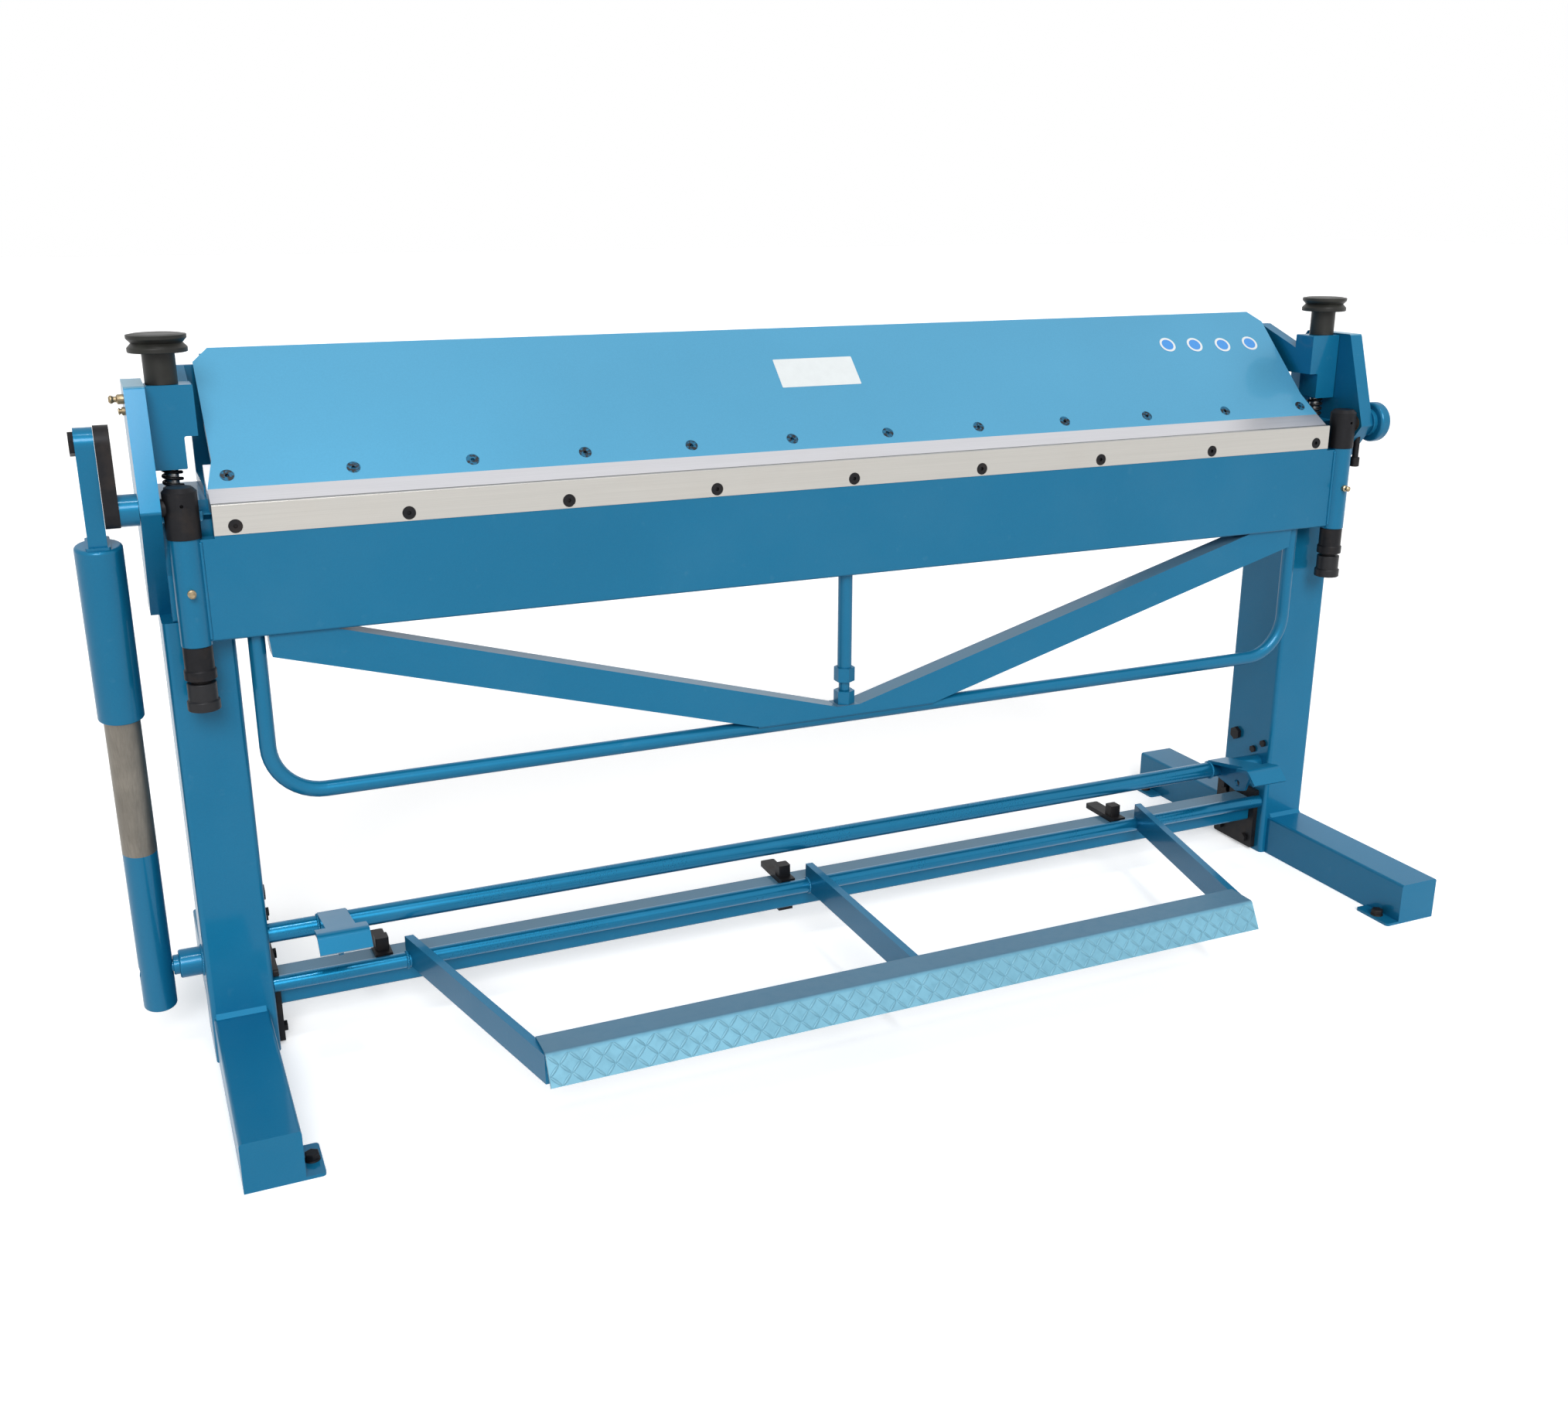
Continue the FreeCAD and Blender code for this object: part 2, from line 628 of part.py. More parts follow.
def bed_beam():
    """Box beam under the bed, from side plate to side plate, on the leg tops."""
    w = BED_WALL
    under = BED_UNDER
    outer = [(BED_FACE, LEG_TOP, 4), (BED_FACE, BED_FACE_TOP), (BED_SHELF_Y, BED_SHELF_LOW),
             (BED_SHELF_Y, BED_SHELF_TOP), (BED_LIP_Y, under - 2), (BED_LIP_Y, under),
             (BED_REBATE, under), (BED_REBATE, FOLD_Z), (BED_REAR, FOLD_Z), (BED_REAR, under),
             (BED_BACK + 4, under - 19), (BED_BACK, under - 29), (BED_BACK, LEG_TOP, 4)]
    inner = [(BED_FACE + w, LEG_TOP + w), (BED_FACE + w, BED_FACE_TOP + 2),
             (BED_SHELF_Y + w, BED_SHELF_LOW + 2), (BED_SHELF_Y + w, under - w),
             (BED_BACK - w, under - w), (BED_BACK - w, LEG_TOP + w)]
    body = prism_x(outer, -PLATE_IN, PLATE_IN)
    void = prism_x(inner, -PLATE_IN + 12, PLATE_IN - 12)
    body = body.cut(void)
    for side in (-1, 1):
        a = side * (WORK_HALF + NOTCH_ASIDE)
        b = side * (PLATE_IN + 1)
        body = body.cut(rod_x(FOLD_Y, FOLD_Z, HEAD_SWEEP_R, min(a, b), max(a, b)))
        body = body.cut(rod_z(side * ROD_X, ROD_Y, ROD_BUSH_R, under - 2 * w, FOLD_Z + 1))
        body = body.cut(rod_z(side * ROD_X, ROD_Y, ROD_R + 4, LEG_TOP - 1, LEG_TOP + 2 * w))
    return body


def bed_bar():
    """Hard bar along the bed's front edge, undercut below the folding line."""
    edge = FOLD_Y + BED_EDGE_GAP
    points = [(edge, FOLD_Z), (BED_REBATE, FOLD_Z), (BED_REBATE, BED_UNDER),
              (BED_LIP_Y - 4, BED_UNDER), (edge, FOLD_Z - 4)]
    return prism_x(points, -WORK_HALF, WORK_HALF)


def crossbar():
    """Square tube between the two end plates, drilled for the strap bolts."""
    y1 = BAR_FRONT + BAR_SIZE
    z1 = BAR_LOW + BAR_SIZE
    t = BAR_WALL
    end = LEG_IN - END_PLATE
    outer = [(BAR_FRONT, BAR_LOW, 6), (y1, BAR_LOW, 6), (y1, z1, 6), (BAR_FRONT, z1, 6)]
    inner = [(BAR_FRONT + t, BAR_LOW + t, 2), (y1 - t, BAR_LOW + t, 2),
             (y1 - t, z1 - t, 2), (BAR_FRONT + t, z1 - t, 2)]
    body = prism_x(outer, -end, end).cut(prism_x(inner, -end, end))
    for x in STRAP_XS:
        body = body.cut(rod_z(x, BAR_FRONT + STRAP_BOLT_IN, STRAP_BOLT_R, z1 - 10, z1 + 1))
    return body


ARM_REAR_XS = [PEDAL_MID - ARM_REAR_HALF, PEDAL_MID, PEDAL_MID + ARM_REAR_HALF]
ARM_FRONT_XS = [PEDAL_MID - ARM_FRONT_HALF, PEDAL_MID, PEDAL_MID + ARM_FRONT_HALF]
STRAP_XS = [x - STRAP_ASIDE for x in ARM_REAR_XS]


def end_plate():
    """Right end plate of the crossbar, slotted, with clearance for the pedal shaft."""
    body = prism_x([(-10, 5, 4), (110, 5, 4), (110, 135, 4), (-10, 135, 4)],
                   LEG_IN - END_PLATE, LEG_IN)
    body = body.cut(rod_x(PEDAL_Y, PEDAL_Z, PEDAL_R + SIDE_GAP, LEG_IN - END_PLATE - 1, LEG_IN + 1))
    slot = prism_x([(71, 102, 5), (83, 102, 5), (83, 130, 5), (71, 130, 5)],
                   LEG_IN - END_PLATE - 1, LEG_IN + 1)
    body = body.cut(slot)
    for y, z, screw in INNER_BOLTS[2:]:
        body = body.cut(rod_x(y, z, screw, LEG_IN - END_PLATE - 1, LEG_IN + 1))
    return body


def inner_bolts():
    """Hexagon bolts on the inner face of the right leg."""
    shapes = []
    for i, (y, z, screw) in enumerate(INNER_BOLTS):
        face = LEG_IN if i < 2 else LEG_IN - END_PLATE
        tall = 1.3 * screw
        head = hexagon(face - tall, y, z, 3.3 * screw, tall, "x")
        shank = rod_x(y, z, screw, face, LEG_IN + LEG_WALL + 4)
        shapes.append(join([head, shank]))
    return shapes


def strap_parts():
    """Flat straps on the crossbar that keep the pedal shaft down, and a lower plate."""
    top = BAR_LOW + BAR_SIZE
    shapes = []
    for x in STRAP_XS:
        half = STRAP_WIDTH / 2
        body = prism_z([(x - half, 1), (x + half, 1), (x + half, 101, 4), (x - half, 101, 4)],
                       top, top + STRAP_THICK)
        body = body.cut(rod_x(PEDAL_Y, PEDAL_Z, PEDAL_R + SIDE_GAP, x - 20, x + 20))
        y = BAR_FRONT + STRAP_BOLT_IN
        body = body.cut(rod_z(x, y, STRAP_BOLT_R, top - 1, top + STRAP_THICK + 1))
        shapes.append(body)
    x = STRAP_XS[1]
    shapes.append(box(x - 14, x + 14, BAR_FRONT + 6, BAR_FRONT + 44, BAR_LOW - 6, BAR_LOW))
    return shapes


def strap_bolts():
    """Tall square headed bolts through the straps."""
    top = BAR_LOW + BAR_SIZE + STRAP_THICK
    shapes = []
    for x in STRAP_XS:
        y = BAR_FRONT + STRAP_BOLT_IN
        head = prism_z([(x - 11, y - 11, 2), (x + 11, y - 11, 2), (x + 11, y + 11, 2),
                        (x - 11, y + 11, 2)], top, top + 22)
        shank = rod_z(x, y, STRAP_BOLT_R, top - STRAP_THICK - BAR_WALL - 2, top)
        shapes.append(join([head, shank]))
    return shapes


def rocker_bolt():
    """Bolt across the right leg on which the rocker turns."""
    x = LEG_IN
    head = hexagon(x - 8, ROCKER_Y, ROCKER_Z, 24, 8, "x")
    shank = rod_x(ROCKER_Y, ROCKER_Z, ROCKER_BOLT_R, x, x + LEG_WIDTH - LEG_WALL)
    return join([head, shank])


def pivot_collar():
    """Boss between the right side plate and the end disc."""
    return ring_part(FOLD_Y, FOLD_Z, COLLAR_R, JOURNAL_R + RUN, PLATE_OUT, COLLAR_OUT)


def clamp_screw():
    """Round headed screw under the right plate's nose that brakes the pivot shaft."""
    low = CLAMP_HEAD_LOW
    high = low + CLAMP_HEAD_TALL
    top = FOLD_Z - JOURNAL_R - GAP
    body = turned_z([(0, low), (CLAMP_HEAD_R, low, 1.5), (CLAMP_HEAD_R, high, 1),
                     (CLAMP_SCREW_R, high), (CLAMP_SCREW_R, top), (0, top)],
                    CLAMP_SCREW_X, FOLD_Y)
    socket = hexagon(CLAMP_SCREW_X, FOLD_Y, low, CLAMP_HEAD_R, CLAMP_HEAD_TALL / 3, "z")
    return body.cut(socket)


def barrel_nipple():
    """Right grease nipple, its foot cut to the round front of the barrel."""
    foot = V(BARREL_X, FOLD_Y - BARREL_R + 2, BARREL_LOW + BARREL_NIPPLE_UP)
    body = nipple(foot, V(0, -1, 0), BARREL_NIPPLE_R, BARREL_NIPPLE_REACH + 2)
    return body.cut(rod_z(BARREL_X, FOLD_Y, BARREL_R, BARREL_LOW, BARREL_TOP)).Solids[0]


def plate_nipples():
    """Grease nipple and small plug on the outer face of the left side plate."""
    out = V(-1, 0, 0)
    upper = V(-PLATE_OUT, ROD_Y, PLATE_TOP - PLATE_NIPPLE_DROP)
    lower = upper - V(0, 0, PLUG_DROP)
    return [nipple(upper, out, PLATE_NIPPLE_R, PLATE_NIPPLE_REACH),
            nipple(lower, out, PLUG_R, PLUG_REACH)]


def apron():
    """Folding beam: closed section with a lip for the blade and a barrel at each end."""
    f = APRON_FRONT
    b = APRON_BACK
    low = APRON_LOW
    lip = APRON_LIP
    w = APRON_WALL
    seat = FOLD_Y
    heel = FOLD_Y + LIP_THICK
    section = [(f, low, 4), (f, lip), (seat, lip), (seat, lip + LIP_TALL),
               (heel, lip + LIP_TALL, 3), (heel, lip - 21), (b, lip - 66), (b, low, 4)]
    end_section = [(f, low, 4), (f, lip - 4), (heel - 5, lip - 4), (heel, lip - 21),
                   (b, lip - 66), (b, low, 4)]
    inner = [(f + w, low + w), (f + w, lip - 28), (heel - 7, lip - 28), (b - w, lip - 69),
             (b - w, low + w)]
    body = join([prism_x(section, -WORK_HALF, WORK_HALF),
                 prism_x(end_section, -APRON_END, -WORK_HALF),
                 prism_x(end_section, WORK_HALF, APRON_END)])
    body = body.cut(prism_x(inner, -APRON_END + APRON_WALL, APRON_END - APRON_WALL))
    barrel = turned_z([(0, BARREL_LOW), (BARREL_R, BARREL_LOW, 2), (BARREL_R, BARREL_TOP, 1),
                       (0, BARREL_TOP)], BARREL_X, FOLD_Y)
    body = join([body] + both(barrel))
    for side in (-1, 1):
        x = side * BARREL_X
        body = body.cut(rod_z(x, FOLD_Y, SPINDLE_R, BARREL_LOW - 1, BARREL_TOP + 1))
    return drill_blade(body)


def spread(count):
    """Even places along X, the outer two a set distance inside the working length."""
    reach = WORK_HALF - SCREW_END
    return [reach * (2 * i / (count - 1) - 1) for i in range(count)]


BLADE_SCREW_XS = spread(BLADE_SCREWS)
BLADE_INTO = V(0, 1, 0)


def blade_screw_at(x):
    return V(x, BLADE_FRONT, APRON_LIP + BLADE_SCREW_UP)


def drill_blade(body):
    """Countersunk holes for the screws that hold the folding blade."""
    for x in BLADE_SCREW_XS:
        body = body.cut(flat_screw_hole(blade_screw_at(x), BLADE_INTO))
    return body


def folding_blade():
    """Ground bar whose top rear edge is the folding line."""
    points = [(BLADE_FRONT, APRON_LIP), (BLADE_FRONT, FOLD_Z - 1), (BLADE_FRONT + 1, FOLD_Z),
              (FOLD_Y, FOLD_Z), (FOLD_Y, APRON_LIP)]
    return drill_blade(prism_x(points, -WORK_HALF, WORK_HALF))


def blade_screws():
    """Flat headed screws sunk into the folding blade."""
    return [flat_screw(blade_screw_at(x), BLADE_INTO) for x in BLADE_SCREW_XS]


def handle():
    """Round lifting tube bent to a U below the folding beam."""
    def path():
        r = HANDLE_BEND
        k = r * (1 - math.sqrt(0.5))
        xs = HANDLE_X
        zl = HANDLE_LOW
        y = HANDLE_Y
        return Part.Wire([
            Part.makeLine(V(-xs, y, APRON_LOW), V(-xs, y, zl + r)),
            Part.Arc(V(-xs, y, zl + r), V(-xs + k, y, zl + k), V(-xs + r, y, zl)).toShape(),
            Part.makeLine(V(-xs + r, y, zl), V(xs - r, y, zl)),
            Part.Arc(V(xs - r, y, zl), V(xs - k, y, zl + k), V(xs, y, zl + r)).toShape(),
            Part.makeLine(V(xs, y, zl + r), V(xs, y, APRON_LOW)),
        ])

    def ring(r):
        at = V(-HANDLE_X, HANDLE_Y, APRON_LOW)
        return Part.Wire([Part.makeCircle(r, at, V(0, 0, -1))])

    skin = path().makePipeShell([ring(HANDLE_R)], True, False)
    core = path().makePipeShell([ring(HANDLE_BORE)], True, False)
    return skin.cut(core)


def brace():
    """V shaped tube truss under the folding beam, saddled on the handle tube."""
    high = BRACE_END - BRACE_TOP_FLAT
    slope = (APRON_LOW - BRACE_MID_TOP) / high
    low_start = BRACE_FLAT
    low_end_z = APRON_LOW - BRACE_END_TALL
    right = [(0, BRACE_MID_LOW), (0, BRACE_MID_TOP), (high, APRON_LOW), (BRACE_END, APRON_LOW),
             (BRACE_END - 3, low_end_z), (low_start, BRACE_MID_LOW)]
    w = BRACE_WALL
    floor = HANDLE_LOW + HANDLE_R + w
    low_slope = (low_end_z - BRACE_MID_LOW) / (BRACE_END - 3 - low_start)
    floor_end = low_start + (floor - BRACE_MID_LOW - w) / low_slope
    hollow = [(40, floor), (40, BRACE_MID_TOP + 40 * slope - w),
              (high, APRON_LOW - w), (BRACE_END - 7, APRON_LOW - w),
              (BRACE_END - 7, low_end_z + w), (floor_end, floor)]
    half = prism_y(right, BRACE_FRONT, BRACE_BACK)
    half = half.cut(prism_y(hollow, BRACE_FRONT + w, BRACE_BACK - w))
    pad = box(-20, 20, BRACE_FRONT, BRACE_BACK, BRACE_MID_LOW, BRACE_PAD_TOP)
    body = join(both(half) + [pad])
    body = body.cut(rod_x(HANDLE_Y, HANDLE_LOW, HANDLE_R, -low_start - 60, low_start + 60))
    stud = rod_z(0, HANDLE_Y, TRUSS_STUD_R, TRUSS_STUD_LOW, BRACE_PAD_TOP + 1)
    return body.cut(stud)


def truss_rod():
    """Upright tube from the folding beam down to the adjusting stud."""
    body = rod_z(0, HANDLE_Y, HANDLE_R, TRUSS_TUBE_LOW, APRON_LOW)
    high = TRUSS_TUBE_LOW + TRUSS_STUD_UP
    return body.cut(rod_z(0, HANDLE_Y, TRUSS_STUD_R, TRUSS_TUBE_LOW - 1, high))


def truss_stud():
    return rod_z(0, HANDLE_Y, TRUSS_STUD_R, TRUSS_STUD_LOW, TRUSS_TUBE_LOW + TRUSS_STUD_UP)


def truss_nut():
    """Adjusting nut that carries the truss on the middle of the brace."""
    low = BRACE_PAD_TOP + GAP
    nut = hexagon(0, HANDLE_Y, low, TRUSS_NUT_AF, TRUSS_NUT_TALL, "z")
    return nut.cut(rod_z(0, HANDLE_Y, TRUSS_STUD_R + RUN, low - 1, low + TRUSS_NUT_TALL + 1))


def lock_nuts():
    """Nut under the truss tube and the ringed lock nuts at the spindle ends."""
    low = TRUSS_TUBE_LOW - TRUSS_LOCK_TALL
    nut = hexagon(0, HANDLE_Y, low, TRUSS_NUT_AF, TRUSS_LOCK_TALL, "z")
    nut = nut.cut(rod_z(0, HANDLE_Y, TRUSS_STUD_R, low - 1, TRUSS_TUBE_LOW + 1))
    ring_top = LOCK_LOW + RING_TALL
    top = LOCK_LOW + LOCK_TALL
    ring = turned_z([(SPINDLE_R, LOCK_LOW), (RING_R + 0.5, LOCK_LOW, 1.5),
                     (RING_R + 0.5, ring_top, 1.5), (RING_R - 2, ring_top + 2),
                     (RING_R - 2, top, 1.5), (SPINDLE_R, top)], BARREL_X, FOLD_Y)
    return [nut] + both(ring)


def adjust_nut():
    """Right adjusting nut under the barrel, a sleeve with a grip ring."""
    r = SPINDLE_R + RUN
    ring_top = ADJUST_LOW + RING_TALL
    top = BARREL_LOW - GAP
    return turned_z([(r, ADJUST_LOW), (RING_R, ADJUST_LOW, 1.5), (RING_R, ring_top, 1.5),
                     (RING_R - 2, ring_top + 2), (RING_R - 2, top), (r, top)], BARREL_X, FOLD_Y)


def pivot_head(side):
    """Pivot head with its upright spindle and the pivot shaft through the side plate."""
    points = [(0, SPINDLE_END), (SPINDLE_R, SPINDLE_END), (SPINDLE_R, BARREL_TOP),
              (HEAD_R, BARREL_TOP), (HEAD_R, HEAD_TOP - 6), (HEAD_R - 6, HEAD_TOP), (0, HEAD_TOP)]
    body = turned_z(points, side * BARREL_X, FOLD_Y)
    end = CRANK_OUT if side < 0 else DISC_OUT - DISC_SKIN
    a = side * BARREL_X
    b = side * end
    body = join([body, rod_x(FOLD_Y, FOLD_Z, JOURNAL_R, min(a, b), max(a, b))])
    return body.cut(rod_y(side * BARREL_X, FOLD_Z + 4, 2.5, FOLD_Y - HEAD_R - 1, FOLD_Y - 16))


def crank_plate():
    """Crank on the left pivot shaft, its tip bored for the eye bolt."""
    a = (FOLD_Y, FOLD_Z)
    b = (FOLD_Y, FOLD_Z + CRANK_REACH)
    body = bar_between(a, b, CRANK_R, -CRANK_OUT, -CRANK_IN)
    body = body.cut(rod_x(a[0], a[1], JOURNAL_R, -CRANK_OUT - 1, -CRANK_IN + 1))
    return body.cut(rod_x(b[0], b[1], STRUT_PIN_R + 1, -CRANK_OUT - 1, -CRANK_IN + 1))


def end_disc():
    """Round cap on the end of the right pivot shaft."""
    x0 = COLLAR_OUT + GAP
    depth = DISC_OUT - DISC_SKIN
    points = [(x0, JOURNAL_R), (x0, DISC_R, 6), (DISC_OUT, DISC_R, 9), (DISC_OUT, 0),
              (depth, 0), (depth, JOURNAL_R)]
    return turned_x(points, FOLD_Y, FOLD_Z)


def strut_place(shape):
    """Move a shape drawn upright about the origin onto the leaning strut axis."""
    shape.rotate(V(0, 0, 0), V(1, 0, 0), STRUT_LEAN)
    shape.translate(V(-STRUT_X, STRUT_Y, STRUT_Z))
    return shape


def strut_tube():
    floor = TUBE_FLOOR - TUBE_BELOW
    body = turned_z([(0, -TUBE_BELOW), (TUBE_R, -TUBE_BELOW, 3), (TUBE_R, TUBE_TOP),
                     (TUBE_BORE, TUBE_TOP), (TUBE_BORE, floor), (0, floor)], 0, 0)
    body = body.cut(rod_x(0, 0, STRUT_PIN_R + RUN, -TUBE_R - 2, TUBE_R + 2))
    return strut_place(body)


def gas_cylinder():
    """Closed spring cylinder centred in the strut tube by two flanges."""
    rim = TUBE_BORE
    low = STRUT_PIN_R + 14
    top = TUBE_TOP - 20
    points = [(0, low), (rim, low), (rim, low + 12), (GAS_R, low + 12), (GAS_R, top - 12),
              (rim, top - 12), (rim, top), (PISTON_R + RUN, top), (PISTON_R + RUN, top - 10),
              (GAS_R - 2, top - 10), (GAS_R - 2, low + 14), (0, low + 14)]
    return strut_place(turned_z(points, 0, 0))


def piston_rod():
    top = SLEEVE_TOP - SLEEVE_CAP
    low = TUBE_TOP - 140
    points = [(0, low), (GAS_R - 2.5, low), (GAS_R - 2.5, low + 10), (PISTON_R, low + 10),
              (PISTON_R, top), (0, top)]
    return strut_place(turned_z(points, 0, 0))


def strut_sleeve():
    bore = TUBE_R + GAP
    cap = SLEEVE_TOP - SLEEVE_CAP
    points = [(bore, SLEEVE_LOW), (SLEEVE_R, SLEEVE_LOW, 2), (SLEEVE_R, SLEEVE_TOP, 5),
              (0, SLEEVE_TOP), (0, cap), (bore, cap)]
    return strut_place(turned_z(points, 0, 0))


def eye_bar():
    """Flat bar welded on the sleeve, with a round eye over the crank tip."""
    x1 = EYE_THICK / 2
    x0 = -x1
    bar = box(x0, x1, -EYE_R, EYE_R, SLEEVE_TOP, STRUT_LENGTH)
    eye = rod_x(0, STRUT_LENGTH, EYE_R, x0, x1)
    weld = prism_z([(x0 - 4, -EYE_R - 4, 5), (x1 + 4, -EYE_R - 4, 5), (x1 + 4, EYE_R + 4, 5),
                    (x0 - 4, EYE_R + 4, 5)], SLEEVE_TOP, SLEEVE_TOP + 4)
    body = join([bar, eye, weld])
    return strut_place(body.cut(rod_x(0, STRUT_LENGTH, STRUT_PIN_R, x0 - 1, x1 + 1)))


def eye_bolt():
    x1 = EYE_THICK / 2
    x0 = -x1
    shank = rod_x(0, STRUT_LENGTH, STRUT_PIN_R, x0, x1)
    head = hexagon(x0 - 7, 0, STRUT_LENGTH, 30, 7, "x")
    return strut_place(join([shank, head]))


def clamp_plate():
    """Sloping front plate of the clamping beam with cut corners and bolt holes."""
    low = WORK_HALF - 12
    high = WORK_HALF - 10
    top = WORK_HALF - 34
    cut = SLOPE_LENGTH - 26.5
    points = [(-WORK_HALF, 0), (-low, 52), (-high, cut), (-top, SLOPE_LENGTH),
              (top, SLOPE_LENGTH), (high, cut), (low, 52), (WORK_HALF, 0)]
    y0, z0 = SLOPE_LOW

    def place(u, v):
        return V(u, y0 + SLOPE_U[0] * v, z0 + SLOPE_U[1] * v)

    face = Part.Face(outline(points, place))
    body = face.extrude(V(0, SLOPE_IN[0] * SLOPE_THICK, SLOPE_IN[1] * SLOPE_THICK))
    return drill_nose(body)


NOSE_BOLT_XS = spread(NOSE_BOLTS)
NOSE_INTO = V(0, SLOPE_IN[0], SLOPE_IN[1])


def nose_bolt_at(x):
    y = SLOPE_LOW[0] + SLOPE_U[0] * NOSE_BOLT_UP
    z = SLOPE_LOW[1] + SLOPE_U[1] * NOSE_BOLT_UP
    return V(x, y, z)


def drill_nose(body):
    """Countersunk holes for the screws that hold the nose bar."""
    for x in NOSE_BOLT_XS:
        body = body.cut(flat_screw_hole(nose_bolt_at(x), NOSE_INTO))
    return body


def nose_bolts():
    return [flat_screw(nose_bolt_at(x), NOSE_INTO) for x in NOSE_BOLT_XS]


def nose_bar():
    """Bevelled nose whose tip meets the folding line, hollow ground below."""
    low = FOLD_Z + GAP
    inner_y = SLOPE_LOW[0] + SLOPE_IN[0] * SLOPE_THICK
    inner_z = SLOPE_LOW[1] + SLOPE_IN[1] * SLOPE_THICK
    points = [(FOLD_Y + 1, low), SLOPE_LOW, (inner_y, inner_z), (0, under_slope(0)), (0, low)]
    return drill_nose(prism_x(points, -WORK_HALF, WORK_HALF))


def clamp_frame():
    """Sole, back plate and ribs behind the sloping plate, welded together."""
    low = FOLD_Z + GAP
    top = FOLD_Z + SOLE_THICK
    back = BED_REAR
    rear = back + BACK_THICK
    reach = BLOCK_IN + CHEEK_THICK
    high_reach = WORK_HALF - FRAME_HIGH_INSET
    sole = box(-BLOCK_IN, BLOCK_IN, 0, back, low, top)
    back_low = box(-BLOCK_IN, BLOCK_IN, back, rear, low, BLOCK_NOTCH_Z)
    back_mid = box(-reach, reach, back, rear, BLOCK_NOTCH_Z, FRAME_TOP)
    back_high = prism_x([(back, FRAME_TOP), (rear, FRAME_TOP), (rear, under_slope(rear)),
                         (back, under_slope(back))], -high_reach, high_reach)
    shapes = [sole, back_low, back_mid, back_high]
    rib = [(0, top), (back, top), (back, under_slope(back)), (0, under_slope(0))]
    for i in range(-3, 4):
        x = i * (WORK_HALF - RIB_END) / 3
        shapes.append(prism_x(rib, x - RIB_THICK / 2, x + RIB_THICK / 2))
    return join(shapes)


def end_block():
    """Right end block with its notch, and the cheek that ties it to the frame."""
    block = prism_y([(BLOCK_IN, BLOCK_NOTCH_Z), (BLOCK_IN, BLOCK_TOP, 2), (BLOCK_OUT, BLOCK_TOP, 2),
                     (BLOCK_OUT, BLOCK_LOW, 2), (BLOCK_NOTCH_X, BLOCK_LOW, 2),
                     (BLOCK_NOTCH_X, BLOCK_NOTCH_Z, 3)], BLOCK_FRONT, BLOCK_BACK)
    low = BLOCK_NOTCH_Z
    cheek = prism_x([(BLOCK_BACK, low), (BLOCK_BACK, low + CHEEK_TALL), (BED_REAR, FRAME_TOP),
                     (BED_REAR, low)], BLOCK_IN, BLOCK_IN + CHEEK_THICK)
    body = join([block, cheek])
    return body.cut(rod_z(ROD_X, ROD_Y, ROD_R, BLOCK_LOW - 1, BLOCK_TOP + 1))


def pull_rod():
    """Right pull rod with the fork that straddles the rocker."""
    low = FORK_PIN_Z - 17
    top = FORK_PIN_Z + 38
    inner = ROCKER_X - SIDE_GAP
    outer = ROCKER_X + ROCKER_THICK + SIDE_GAP
    mid = ROCKER_X + ROCKER_THICK / 2
    fork = prism_x([(ROD_Y - 15, low, 6), (ROD_Y + 15, low, 6), (ROD_Y + 15, top, 6),
                    (ROD_Y - 15, top, 6)], mid - 15, mid + 15)
    fork = fork.cut(box(inner, outer, ROD_Y - 20, ROD_Y + 20, low - 1, top - 14))
    pin = rod_x(ROD_Y, FORK_PIN_Z, FORK_PIN_R, mid - 15, mid + 15)
    return join([fork, pin, rod_z(ROD_X, ROD_Y, ROD_R, top - 2, KNOB_TOP - 10)])


def knob():
    """Right clamping nut, a spool with a V groove round its rim."""
    low = BLOCK_TOP + GAP
    bore = ROD_R + RUN
    rim = KNOB_NECK_TOP
    groove = KNOB_DISC_TALL / 4
    points = [(bore, low), (KNOB_NECK_R, low), (KNOB_NECK_R, rim), (KNOB_DISC_R, rim, 1.5),
              (KNOB_DISC_R, rim + groove, 1), (KNOB_DISC_R - 6, rim + 2 * groove),
              (KNOB_DISC_R, rim + 3 * groove, 1),
              (KNOB_DISC_R, KNOB_TOP - 1.5), (KNOB_DISC_R - 8, KNOB_TOP), (0, KNOB_TOP),
              (0, KNOB_TOP - 9), (bore, KNOB_TOP - 9)]
    return turned_z(points, ROD_X, ROD_Y)


def return_spring():
    """Right coil spring that lifts the end block off the bed."""
    low = FOLD_Z + GAP + SPRING_WIRE_R
    tall = BLOCK_LOW - FOLD_Z - GAP - 2 * SPRING_WIRE_R
    helix = Part.makeHelix(tall / SPRING_TURNS, tall, SPRING_R)
    start = V(SPRING_R, 0, 0)
    ring = Part.Wire([Part.makeCircle(SPRING_WIRE_R, start, V(0, 1, 0))])
    coil = Part.Wire(helix.Edges).makePipeShell([ring], True, True)
    coil.translate(V(ROD_X, ROD_Y, low))
    return coil


def pedal_shaft():
    end = LEG_IN - GAP
    tip = CRANK_X + CRANK_PLATE
    middle = rod_x(PEDAL_Y, PEDAL_Z, PEDAL_R, -end, end)
    return join([middle, rod_x(PEDAL_Y, PEDAL_Z, PEDAL_END_R, -tip, tip)])


